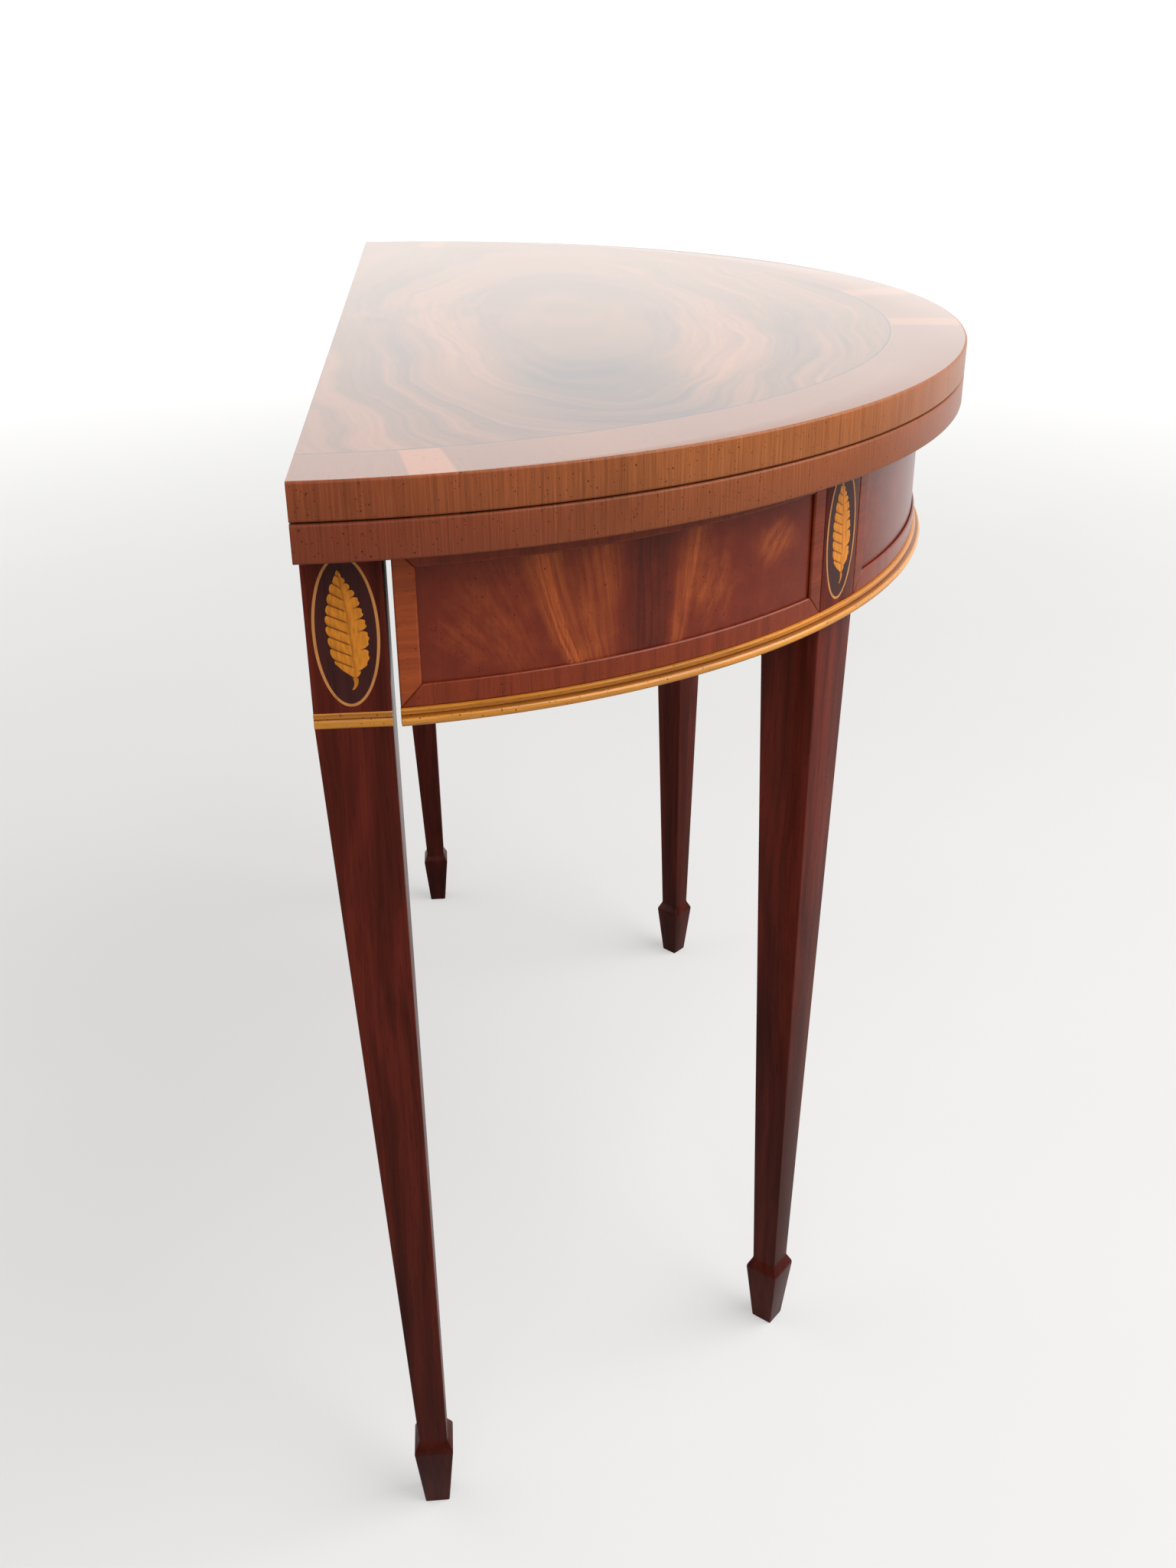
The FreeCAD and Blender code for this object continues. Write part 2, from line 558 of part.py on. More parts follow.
# Leaf hinges: the lower leaf's plates are fixed, the upper leaf's move
plate_spots = [
    f"{side}Places.hinge_place {shift} Sizes.hinge_screw_spread / 2"
    for side in ("-", "") for shift in ("-", "+")
]
hinge_start = "-Places.hinge_place - Sizes.hinge_length / 2"
hinge_axis = ("Places.hinge_axis_y", "Places.hinge_axis_z", RIGHT)
hinge_holes = {}
for kind, upward, segments in (("fixed", False, (0, 2, 4)), ("moving", True, (1, 3))):
    sign = "+" if upward else "-"
    screw_z = f"Places.hinge_axis_z {sign} Sizes.hinge_screw_place"
    spots = [(x, "Places.back_edge", screw_z) for x in plate_spots]
    nodes[f"{kind}_hinge_screws"], hinge_holes[kind] = screws_and_holes(
        f"{kind}_hinge_screws", spots, FORWARD, "hinge", "Sizes.hinge_screw_length")
    bore = rod(f"{kind}_hinge_bore", "Sizes.hinge_pin + 2 * Sizes.pin_clearance", "Sizes.hinge_length",
               hinge_start, *hinge_axis)
    plate_blank = hinge_plate(f"left_hinge_{kind}", "-Places.hinge_place", upward, segments)
    left_plate = cut(f"left_hinge_{kind}_plate", plate_blank, bore, hinge_holes[kind])
    nodes[f"left_hinge_{kind}_plate"] = left_plate
    nodes[f"right_hinge_{kind}_plate"] = mirrored(f"right_hinge_{kind}_plate", left_plate)
nodes["left_hinge_pin"] = rod("left_hinge_pin", "Sizes.hinge_pin", "Sizes.hinge_length",
                              hinge_start, *hinge_axis)
nodes["right_hinge_pin"] = mirrored("right_hinge_pin", nodes["left_hinge_pin"])

# Leaves with mortises for the hinge plates
mortise_height = "Sizes.plate_reach - Sizes.leaf_gap / 2 + Sizes.fit_clearance"


def plate_mortises(name, z):
    """Mortises for the plates of both hinges in the back edge of a leaf."""
    left = box(name + "_left", "Sizes.hinge_length + 2 * Sizes.fit_clearance", "Sizes.plate_thickness",
               mortise_height, f"{hinge_start} - Sizes.fit_clearance",
               "Places.back_edge - Sizes.plate_thickness", z)
    return group(name, left, mirrored(name + "_right", left))


nodes["upper_leaf"] = cut("upper_leaf", half_round_leaf("upper_board", "Places.upper_bottom"),
                          plate_mortises("upper_mortises", "Places.upper_bottom"), hinge_holes["moving"])
nodes["lower_leaf"] = cut("lower_leaf", half_round_leaf("lower_board", "Places.frame_top"),
                          plate_mortises("lower_mortises", f"Places.lower_top - ({mortise_height})"),
                          hinge_holes["fixed"], top_screw_holes)

# Moulding round the foot of the apron: a flat fillet over a half-round bead
moulding_start = "180 + Places.end_angle"
moulding_span = "180 - 2 * Places.end_angle"
fillet = arc_strip("moulding_fillet", "Places.core_face", "Places.apron_face + Sizes.moulding_step",
                   "Places.apron_bottom", "Sizes.moulding_height", moulding_start, moulding_span)
bead = bind(doc.addObject("Part::Torus", "moulding_bead"),
            Radius1="Places.apron_face + Sizes.moulding_reach - Sizes.bead_radius",
            Radius2="Sizes.bead_radius", Angle3=moulding_span, y="Places.back_edge",
            z="Places.apron_bottom + Sizes.bead_radius", turn=moulding_start)
nodes["apron_moulding"] = fuse("apron_moulding", fillet, bead)
moulding_housing = arc_strip("moulding_housing", "Places.core_face", "Places.top_radius",
                             "Places.apron_bottom", "Sizes.moulding_height", moulding_start, moulding_span)

# Legs, each with its oval inlay let into the outer face
inlays = {
    "front_left": inlay_pieces("front_left", "Places.front_leg_turn",
                               "Places.front_leg_face * cos(Places.front_leg_turn)",
                               "Places.back_edge + Places.front_leg_face * sin(Places.front_leg_turn)"),
    "rear_left": inlay_pieces("rear_left", "180", "-Places.apron_face", "Places.fly_axis_y"),
}
front_blank = bind(
    leg_blank("front_left_blank", "Places.front_leg_face - Sizes.leg_block", "-Sizes.leg_block / 2",
              "Places.front_leg_face - Sizes.front_face_taper - Sizes.leg_ankle",
              "-Sizes.leg_block / 2 + Sizes.front_side_taper", "Places.frame_top"),
    y="Places.back_edge", turn="Places.front_leg_turn")
rear_blank = leg_blank("rear_left_blank", "-Places.apron_face", "Places.back_edge - Sizes.leg_block",
                       "-Places.apron_face", "Places.back_edge - Sizes.leg_block - Sizes.fly_leg_splay",
                       "Places.fly_top")
band_housing = box("band_housing", "Sizes.band_depth", "Sizes.leg_block", "Sizes.moulding_height",
                   "-Places.apron_face", "Places.back_edge - Sizes.leg_block", "Places.apron_bottom")
left_legs = {
    "front_left_leg": cut("front_left_leg", front_blank, inlays["front_left"]["recess"], moulding_housing),
    "rear_left_leg": cut("rear_left_leg", rear_blank, inlays["rear_left"]["recess"], band_housing,
                         tenon_box("left_mortise", "Sizes.fit_clearance")),
    "rear_left_band": box("rear_left_band", "Sizes.band_depth + Sizes.band_proud", "Sizes.leg_block",
                          "Sizes.moulding_height", "-Places.apron_face - Sizes.band_proud",
                          "Places.back_edge - Sizes.leg_block", "Places.apron_bottom"),
}
for leg, pieces in inlays.items():
    for kind in ("string_inlay", "oval_ground", "fern_inlay"):
        left_legs[f"{leg}_{kind}"] = pieces[kind]

# Curved apron in three runs between the legs
leg_room_flat = box("front_left_room_flat", "Sizes.leg_block + Sizes.overhang", "Sizes.leg_block",
                    "Sizes.table_height", "Places.front_leg_face - Sizes.leg_block",
                    "-Sizes.leg_block / 2", 0)
leg_room = turned("front_left_room", leg_room_flat, "Places.front_leg_turn")
leg_stile = "Places.stile_leg_angle"
left_run = apron_run(
    "left", "180", "90 - Sizes.front_leg_angle",
    {"rear": ("180", "Places.stile_end_angle"), "fore": (f"Places.front_leg_turn - {leg_stile}", leg_stile)},
    leg_room, back_room("left_back_room"))
nodes.update(apron_run(
    "front", "Places.front_leg_turn", "2 * Sizes.front_leg_angle",
    {"left": ("Places.front_leg_turn", leg_stile),
     "right": (f"270 + Sizes.front_leg_angle - {leg_stile}", leg_stile)},
    leg_room, mirrored("front_right_room", leg_room)))

# Inner frame behind the apron
back_rail_blank = overlap(
    "back_rail_blank",
    box("back_rail_box", "Sizes.top_width", "Sizes.back_rail_thickness", "Sizes.back_rail_height",
        "-Places.top_radius", "Places.rail_front", "Places.frame_top - Sizes.back_rail_height"),
    apron_hollow("back_rail_hollow"))
nodes["inner_back_rail"] = cut("inner_back_rail", back_rail_blank, rail_screw_holes)
nodes["medial_brace"] = overlap(
    "medial_brace",
    box("medial_brace_box", "Sizes.brace_thickness",
        "Places.rail_front - Places.back_edge + Places.top_radius", "Sizes.brace_height",
        "-Sizes.brace_thickness / 2", "Places.back_edge - Places.top_radius",
        "Places.frame_top - Sizes.brace_height"),
    apron_hollow("medial_brace_hollow"))

# Fly rails on wooden knuckle joints at the ends of the hinge rail
left_fixed_knuckle = fuse("left_fixed_knuckle", *knuckle("left_fixed", 1, (0, 2, 4)))
hinge_rail_body = box("hinge_rail_body", "2 * (Places.fly_axis - Places.knuckle_room)",
                      "Places.rail_back - Places.apron_end", "Sizes.fly_rail_height",
                      "Places.knuckle_room - Places.fly_axis", "Places.apron_end", "Places.fly_bottom")
hinge_rail_blank = fuse("hinge_rail_blank", hinge_rail_body, left_fixed_knuckle,
                        mirrored("right_fixed_knuckle", left_fixed_knuckle))
fixed_bore = pin_bore("left_fixed_bore")
nodes["hinge_rail"] = cut("hinge_rail", hinge_rail_blank, fixed_bore,
                          mirrored("right_fixed_bore", fixed_bore), rail_screw_holes)
fly_rail_body = box("left_fly_rail_body", "-Places.fly_axis - Places.knuckle_room - Places.leg_inside",
                    "Sizes.fly_rail_thickness", "Sizes.fly_rail_height", "Places.leg_inside",
                    "Places.fly_axis_y - Places.knuckle_radius", "Places.fly_bottom")
fly_rail_blank = fuse("left_fly_rail_blank", fly_rail_body, tenon_box("left_tenon", "0"),
                      *knuckle("left_fly", -1, (1, 3)))
left_legs["fly_rail_left"] = cut("fly_rail_left", fly_rail_blank, pin_bore("left_fly_bore"))
left_legs["knuckle_pin_left"] = rod("knuckle_pin_left", "Sizes.knuckle_pin", "Sizes.fly_rail_height",
                                    "-Places.fly_axis", "Places.fly_axis_y", "Places.fly_bottom")

# The right side is the left side mirrored
for label, item in {**left_legs, **left_run}.items():
    nodes[label] = item
    right_label = label.replace("left", "right")
    nodes[right_label] = mirrored(right_label, item)

doc.recompute()
for label, item in nodes.items():
    item.Label = label
failed = [item.Name for item in doc.Objects if {"Invalid", "Error"} & set(item.State)]
failed += [label for label, item in nodes.items() if item.Shape.isNull() or not item.Shape.isValid()]
if failed:
    raise RuntimeError(f"not built: {failed}")

os.makedirs("parts", exist_ok=True)
for label, item in nodes.items():
    item.Shape.exportStep(f"parts/{label}.step")
print(len(nodes), "nodes")
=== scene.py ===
"""Looks of a half-round fold-over games table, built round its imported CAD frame.

Lengths are in metres. The floor is z = 0, the curved front faces -Y and the flat back +Y.
Angles run round the middle of the back edge, from 0 at the middle of the curve to +-90 degrees at its ends.
"""

import math

import bmesh
import bpy
import numpy as np
from mathutils import Matrix, Vector


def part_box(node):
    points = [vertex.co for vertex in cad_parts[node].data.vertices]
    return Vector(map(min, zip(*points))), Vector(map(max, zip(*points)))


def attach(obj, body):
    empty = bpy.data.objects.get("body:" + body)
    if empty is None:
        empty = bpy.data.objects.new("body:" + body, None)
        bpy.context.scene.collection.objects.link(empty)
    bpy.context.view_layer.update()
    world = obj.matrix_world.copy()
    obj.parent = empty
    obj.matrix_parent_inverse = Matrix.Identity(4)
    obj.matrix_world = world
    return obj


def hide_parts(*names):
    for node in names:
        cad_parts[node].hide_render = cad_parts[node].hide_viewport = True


bl_info = {
    "name": "Games Table Looks",
    "version": (1, 0, 0),
    "blender": (4, 5, 0),
    "location": "View3D > Sidebar > Games Table",
    "description": "Veneers, inlays, mouldings and stage for a half-round fold-over games table",
    "category": "Object",
}

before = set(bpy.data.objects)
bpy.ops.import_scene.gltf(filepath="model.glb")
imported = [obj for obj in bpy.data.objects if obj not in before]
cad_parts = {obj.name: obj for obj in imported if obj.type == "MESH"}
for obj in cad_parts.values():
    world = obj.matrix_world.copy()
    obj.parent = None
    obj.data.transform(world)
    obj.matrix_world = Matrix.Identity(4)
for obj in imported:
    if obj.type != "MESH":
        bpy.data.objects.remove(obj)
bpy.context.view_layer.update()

# Places and sizes that the frame gives
LEAF_LOW, LEAF_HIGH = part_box("upper_leaf")
BACK = LEAF_HIGH.y
TOP_RADIUS = LEAF_HIGH.x
FRAME_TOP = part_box("lower_leaf")[0].z
CORE_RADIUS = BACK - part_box("front_apron")[0].y
BORDER_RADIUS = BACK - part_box("front_border_top")[0].y
APRON_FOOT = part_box("front_apron")[0].z
MOULDING_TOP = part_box("apron_moulding")[1].z
BORDER_WIDTH = FRAME_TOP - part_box("front_border_top")[0].z
END_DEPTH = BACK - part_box("left_apron")[1].y
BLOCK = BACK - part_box("rear_left_band")[0].y
OVAL_LOW, OVAL_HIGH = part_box("rear_left_string_inlay")
FRONT_OVAL = sum(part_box("front_left_string_inlay"), Vector()) / 2
FRONT_LEG_ANGLE = math.atan2(-FRONT_OVAL.x, BACK - FRONT_OVAL.y)

LEGS = ("rear_left", "rear_right", "front_left", "front_right")
STILE_WIDTH = 0.012
CORE_THICKNESS = 0.020
MORTISE_DEPTH = 0.0026
CLEARANCE = 0.0001
QUARTER_TURN = math.pi / 2
SMOOTH_ANGLE = math.radians(32)
EASE_ANGLE = math.radians(40)
MERGE_DISTANCE = 2e-6
WHITE = (1, 1, 1, 1)


def linear(red, green, blue):
    """A screen colour from 0 to 255 as linear light, with alpha."""
    share = np.array([red, green, blue]) / 255
    light = np.where(share <= 0.04045, share / 12.92, ((share + 0.055) / 1.055) ** 2.4)
    return (*light.tolist(), 1.0)


def colour_property(label, description, *rgb):
    """A colour setting with its default."""
    return bpy.props.FloatVectorProperty(
        name=label, description=description, default=linear(*rgb), size=4, min=0, max=1, subtype="COLOR")


def length_property(label, description, default):
    """A length setting in metres with its default."""
    return bpy.props.FloatProperty(
        name=label, description=description, default=default, precision=5, unit="LENGTH", subtype="DISTANCE")


def angle_property(label, description, degrees):
    """An angle setting with its default in degrees."""
    return bpy.props.FloatProperty(
        name=label, description=description, default=math.radians(degrees), subtype="ANGLE")


def light_property(label, description, default, unit="NONE"):
    """A strength or power of light with its default."""
    return bpy.props.FloatProperty(name=label, description=description, default=default, min=0, unit=unit)


class GamesTableSizes(bpy.types.PropertyGroup):
    """Small sizes that the looks add to the CAD frame."""

    leaf_arris: length_property("Leaf arris", "Rounding along the curved edges of the leaves", 0.0015)
    string_radius: length_property("String line", "Radius of the string line in the top", 0.406)
    string_line: length_property("String width", "Width of the string line in the top", 0.0022)
    border_ease: length_property("Border ease", "Rounding along the strips of the apron's border", 0.0009)
    bead_radius: length_property("Bead", "Radius of the bead at the foot of the apron", 0.0026)
    string_ring: length_property("String ring", "Width of the string ring round an oval", 0.0016)
    inlay_stand: length_property("Inlay stand", "String and leaf figure above the face of a leg", 0.00006)
    inlay_depth: length_property("Inlay depth", "Inlay below the face of a leg", 0.0009)
    leg_arris: length_property("Leg arris", "Rounding along the corners of the legs", 0.0010)
    leg_setback: length_property("Leg setback", "Face of a front leg behind the apron's border", 0.0006)
    ankle: length_property("Ankle", "Side of a leg just above its spade foot", 0.0195)
    spade_width: length_property("Spade width", "Spade foot at its widest", 0.027)
    spade_rise: length_property("Spade rise", "Floor to the widest line of the spade", 0.054)
    spade_ledge: length_property("Spade ledge", "Slope above the spade's widest line", 0.008)
    foot_width: length_property("Foot width", "Spade foot at the floor", 0.017)
    fly_splay: length_property("Fly leg splay", "Lean of a fly leg's front face at the ankle", 0.002)
    face_taper: length_property("Face taper", "Taper on the outer face of a front leg", 0.011)
    side_taper: length_property("Side taper", "Taper on the side of a front leg that faces the end", 0.013)


class GamesTableColours(bpy.types.PropertyGroup):
    """Colours of the woods and metals."""

    field_light: colour_property("Field light", "Light swirls of the top", 178, 110, 66)
    field_dark: colour_property("Field dark", "Dark swirls of the top", 62, 33, 28)
    crossband: colour_property("Crossband", "Crossbanded border of the top", 147, 87, 51)
    edge: colour_property("Leaf edge", "Crossbanded edges of the leaves", 134, 74, 41)
    panel_dark: colour_property("Panel dark", "Ground of the apron's crotch veneer", 120, 43, 23)
    panel_light: colour_property("Panel light", "Plumes of the apron's crotch veneer", 202, 98, 46)
    border: colour_property("Border", "Raised border of the apron", 126, 49, 22)
    stile: colour_property("Stile", "Upright strips at the ends of the apron", 156, 70, 30)
    leg: colour_property("Leg", "Legs", 90, 31, 20)
    satinwood: colour_property("Satinwood", "Moulding and bands", 208, 137, 50)
    leaf_figure: colour_property("Leaf figure", "Leaf figures in the ovals", 220, 136, 44)
    string: colour_property("String", "String rings", 200, 134, 74)
    ground: colour_property("Ground", "Dark ground of the ovals", 64, 28, 25)
    inside: colour_property("Inside", "Secondary wood inside the frame", 176, 136, 92)
    brass: colour_property("Brass", "Hinges", 190, 150, 76)
    steel: colour_property("Steel", "Pins and frame screws", 142, 140, 136)
    floor: colour_property("Floor", "Floor under the table", 168, 167, 165)


class GamesTableStage(bpy.types.PropertyGroup):
    """Camera and light of the stage."""

    lens: bpy.props.FloatProperty(name="Lens", description="Focal length", default=34.94, unit="CAMERA")
    eye: bpy.props.FloatVectorProperty(
        name="Eye", description="Place of the camera", default=(-1.18322, 0.14332, 0.94429), unit="LENGTH")
    yaw: angle_property("Yaw", "Turn of the camera from +X", -4.7855)
    pitch: angle_property("Pitch", "Camera's tilt below the horizon", 26.4885)
    roll: angle_property("Roll", "Camera's turn about its own axis", -0.5206)
    sky: light_property("Sky", "Even light from all round", 0.42)
    room: light_property("Room", "Brightness of the side before the table, as its gloss shows it", 0.2)
    key: light_property("Key", "Power of the large soft light", 113, "POWER")
    fill: light_property("Fill", "Power of the second soft light", 13, "POWER")
    back: light_property("Back", "Power of the soft light behind the table", 24, "POWER")


def colours():
    """The scene's wood and metal colours."""
    return bpy.context.scene.games_table_colours


def sizes():
    """The scene's small sizes."""
    return bpy.context.scene.games_table_sizes


def math_step(operation, turned=False):
    """A method that carries a value on through a Math node, as the second value where turned."""

    def step(self, *others):
        """The value after its Math node."""
        return self.nodes.math(operation, *((*others, self) if turned else (self, *others)))

    return step


class Value:
    """A number, vector or colour in a node tree; plain arithmetic on it adds Math nodes."""

    def __init__(self, nodes, socket):
        self.nodes = nodes
        self.socket = socket

    __add__ = __radd__ = math_step("ADD")
    __mul__ = __rmul__ = math_step("MULTIPLY")
    __sub__, __rsub__ = math_step("SUBTRACT"), math_step("SUBTRACT", True)
    __truediv__, __rtruediv__ = math_step("DIVIDE"), math_step("DIVIDE", True)
    __gt__, __lt__ = math_step("GREATER_THAN"), math_step("LESS_THAN")
    __abs__ = math_step("ABSOLUTE")


class Nodes:
    """Short calls that add and join the nodes of one tree."""

    def __init__(self, tree):
        self.tree = tree

    def add(self, kind, inputs=None, **settings):
        """A node with its settings, and with a number or a link for each input by name or place."""
        made = self.tree.nodes.new(kind if kind.startswith("Node") else "ShaderNode" + kind)
        for key, value in settings.items():
            setattr(made, key, value)
        for key, value in (inputs or {}).items():
            source = getattr(value, "socket", value)
            if isinstance(source, bpy.types.NodeSocket):
                self.tree.links.new(source, made.inputs[key])
            else:
                made.inputs[key].default_value = value
        return made

    def named(self, node):
        """A node's outputs as values by name."""
        return {socket.name: Value(self, socket) for socket in node.outputs}

    def effect(self, name, **inputs):
        """The outputs of a shared effect, whose group is built the first time that it is asked for."""
        tree = bpy.data.node_groups.get(name) or EFFECTS[name]()
        return self.named(self.add("Group", inputs, node_tree=tree))

    def give(self, **results):
        """The values that a shared effect puts out, and then its tree."""
        self.add("NodeGroupOutput", results)
        return self.tree

    def math(self, operation, *values, clamp=False):
        """A sum on one or two values."""
        made = self.add("Math", dict(enumerate(values)), operation=operation, use_clamp=clamp)
        return Value(self, made.outputs[0])

    def vector(self, operation, inputs, output="Vector"):
        """A sum on vectors."""
        return Value(self, self.add("VectorMath", inputs, operation=operation).outputs[output])

    def scaled(self, vector, *factors):
        """A vector times three factors."""
        return self.vector("MULTIPLY", {0: vector, 1: factors})

    def length(self, x, y, z=0.0):
        """The length of a vector from three numbers."""
        return self.vector("LENGTH", {0: self.joined(x, y, z)}, "Value")

    def mix(self, factor, first, second, blend="MIX"):
        """Two colours mixed by a factor."""
        made = self.add("Mix", {0: factor, 6: first, 7: second}, data_type="RGBA", blend_type=blend)
        return Value(self, made.outputs[2])

    def span(self, value, low, high, start=0.0, end=1.0):
        """A value carried smoothly from one range to another, held at its ends."""
        made = self.add("MapRange", {0: value, 1: low, 2: high, 3: start, 4: end},
                        interpolation_type="SMOOTHSTEP")
        return Value(self, made.outputs[0])

    def noise(self, vector, scale=1.0, detail=3.0, roughness=0.55, distortion=0.0):
        """Soft noise from 0 to 1."""
        made = self.add("TexNoise", {"Vector": vector, "Scale": scale, "Detail": detail,
                                     "Roughness": roughness, "Distortion": distortion})
        return Value(self, made.outputs[0])

    def ramp(self, value, *stops):
        """A colour from a value by stops of place and colour."""
        made = self.add("ValToRGB", {0: value})
        elements = made.color_ramp.elements
        while len(elements) < len(stops):
            elements.new(1.0)
        for element, (place, colour) in zip(elements, stops):
            element.position = place
            element.color = colour
        return Value(self, made.outputs[0])

    def split(self, vector):
        """The three numbers of a vector."""
        return [Value(self, socket) for socket in self.add("SeparateXYZ", {0: vector}).outputs]

    def joined(self, x, y, z=0.0):
        """A vector from three numbers."""
        return Value(self, self.add("CombineXYZ", {0: x, 1: y, 2: z}).outputs[0])

    def place(self):
        """The point on the piece in the table's own frame."""
        return self.named(self.add("TexCoord"))["Object"]


def shaded(colour, factor):
    """A colour made lighter or darker by a factor."""
    return (*(min(1.0, channel * factor) for channel in colour[:3]), 1.0)


def new_effect(name, inputs, outputs):
    """An empty node group with named sockets: its short calls, and the values that it is given.

    An input with no default is a vector, and the other sockets are numbers.
    """
    tree = bpy.data.node_groups.new(name, "ShaderNodeTree")
    for label, default in inputs.items():
        kind = "NodeSocketVector" if default is None else "NodeSocketFloat"
        socket = tree.interface.new_socket(label, in_out="INPUT", socket_type=kind)
        if default is not None:
            socket.default_value = default
    for label in outputs:
        tree.interface.new_socket(label, in_out="OUTPUT", socket_type="NodeSocketFloat")
    nodes = Nodes(tree)
    return nodes, nodes.named(nodes.add("NodeGroupInput"))


def bent_effect():
    """Radius, angle and arc length round the middle of the back edge, which bent wood follows.

    Radius = sqrt(x^2 + d^2) and angle = atan2(x, d) with d = back - y; arc = angle times the border's radius.
    """
    nodes, given = new_effect("Bent wood", {"Vector": None}, ("Radius", "Angle", "Arc"))
    x, y, _ = nodes.split(given["Vector"])
    depth = BACK - y
    angle = nodes.math("ARCTAN2", x, depth)
    return nodes.give(Radius=nodes.math("SQRT", x * x + depth * depth), Angle=angle, Arc=angle * BORDER_RADIUS)


def grain_effect():
    """Wood grain that runs along Z: broad streaks, fine lines and short dark pores."""
    nodes, given = new_effect("Wood grain", {"Vector": None, "Width": 1.0}, ("Streaks", "Lines", "Pores"))
    wide = nodes.vector("SCALE", {0: given["Vector"], "Scale": given["Width"]})
    sway = (nodes.noise(nodes.scaled(wide, 14, 14, 3.5), detail=2.0) - 0.5) * 0.02
    swayed = nodes.vector("ADD", {0: wide, 1: nodes.joined(sway, sway)})

    def threads(across, along, detail, roughness, low, high):
        """Noise drawn out along Z, fine across and coarse along."""
        stretched = nodes.scaled(swayed, across, across, along)
        return nodes.span(nodes.noise(stretched, 1.0, detail, roughness), low, high)

    return nodes.give(Streaks=threads(130, 3.2, 4.0, 0.6, 0.3, 0.7), Lines=threads(900, 16, 3.0, 0.6, 0.25, 0.75),
                      Pores=threads(1500, 75, 2.0, 0.5, 0.6, 0.72))


def speck_effect():
    """Small dark specks in an old finish: in some cells of a cell pattern, a dot of its own size."""
    nodes, given = new_effect("Finish specks", {"Vector": None, "Spacing": 0.0042, "Share": 0.4}, ("Specks",))
    dots = []
    for spread, size in ((1.0, 0.09), (2.1, 0.13)):
        cells = nodes.named(nodes.add("TexVoronoi", {
            "Vector": given["Vector"], "Scale": spread / given["Spacing"], "Randomness": 1.0}))
        red, green, _ = nodes.split(cells["Color"])
        reach = green * size + size * 0.5
        dots.append(nodes.span(cells["Distance"] / reach, 0.7, 1.4, 1.0, 0.0) * (red < given["Share"]))
    return nodes.give(Specks=nodes.math("MAXIMUM", *dots))


PANEL_RISE = 0.065
# Place at the foot, lean, bow, half width, spread and strength of each plume, and of the dark seam
PLUMES = ((-0.044, -0.022, 0.005, 0.006, 0.006, 0.58), (-0.031, 0.004, 0.0, 0.011, 0.006, 0.36),
          (0.020, 0.008, 0.010, 0.0055, 0.004, 0.46), (0.001, 0.0, 0.0, 0.017, 0.002, -0.28),
          (-0.075, -0.012, 0.0, 0.020, 0.012, 0.10))
# Place, level, half width, half height and strength of each lighter patch
PATCHES = ((0.046, 0.45, 0.018, 0.40, 0.34), (0.098, 0.68, 0.015, 0.20, 0.54), (-0.100, 0.45, 0.026, 0.36, 0.16))


def crotch_effect():
    """Crotch veneer on a bent panel: plumes whose fibres fan out upwards, a dark seam and lighter patches.

    Across is the distance from the seam and rise the share of the panel's height. A plume's place is
    foot + lean rise + bow rise^2 and its half width half + spread rise; fibres follow across / (1 + fan rise).
    """
    nodes, given = new_effect("Crotch veneer", {"Across": 0.0, "Rise": 0.5, "Patches": 1.0}, ("Figure",))
    rise = given["Rise"]
    flat = nodes.joined(given["Across"], rise * PANEL_RISE)
    across = given["Across"] + (nodes.noise(flat, 16.0, 2.0, 0.4) - 0.5) * 0.008

    def fanned(fan, fine, along, layer, low, high):
        """Noise drawn out along fibres that fan out upwards."""
        thread = nodes.joined(across / (rise * fan + 1.0) * fine, rise * along, layer)
        return nodes.span(nodes.noise(thread, 1.0, 4.0, 0.62), low, high)

    fibres = fanned(0.45, 480.0, 0.9, 0.0, 0.32, 0.68) * 0.8 + 0.3
    ripple = (fanned(0.7, 210.0, 3.2, 2.0, 0.34, 0.68) * 0.8 + 0.25) * given["Patches"]
    figure = (nodes.noise(flat, 60.0, 4.0, 0.6) - 0.5) * 0.38 + 0.27
    for foot, lean, bow, half, spread, strength in PLUMES:
        away = abs(across - (rise * (rise * bow + lean) + foot)) / (rise * spread + half)
        figure = figure + nodes.span(away, 0.1, 1.5, strength, 0.0) * fibres
    for place, level, reach, tall, strength in PATCHES:
        away = nodes.length((across - place) / reach, (rise - level) / tall)
        figure = figure + nodes.span(away, 0.1, 1.5, strength, 0.0) * ripple
    return nodes.give(Figure=nodes.math("ADD", figure, 0.0, clamp=True))


def lacquer_effect():
    """Roughness and faint unevenness of a rubbed lacquer."""
    nodes, given = new_effect("Rubbed lacquer", {"Vector": None, "Gloss": 0.2, "Spread": 0.08},
                              ("Roughness", "Height"))
    cloud = nodes.noise(given["Vector"], 9.0, 4.0)
    fine = nodes.noise(given["Vector"], 420.0, 2.0)
    return nodes.give(Roughness=given["Gloss"] + (cloud - 0.5) * given["Spread"], Height=fine * 0.3 + cloud)


EFFECTS = {"Bent wood": bent_effect, "Wood grain": grain_effect, "Finish specks": speck_effect,
           "Crotch veneer": crotch_effect, "Rubbed lacquer": lacquer_effect}
SPECK_COLOUR = (0.008, 0.004, 0.003, 1)
SPECK_DEPTH = 0.7


def start_material(name):
    """A new material with an empty node tree."""
    material = bpy.data.materials.new(name)
    material.use_nodes = True
    material.node_tree.nodes.clear()
    return material


def once(name, build):
    """A material by name, built on its own nodes the first time that it is asked for."""
    material = bpy.data.materials.get("made_" + name)
    if material is None:
        material = start_material("made_" + name)
        build(Nodes(material.node_tree))
    return material


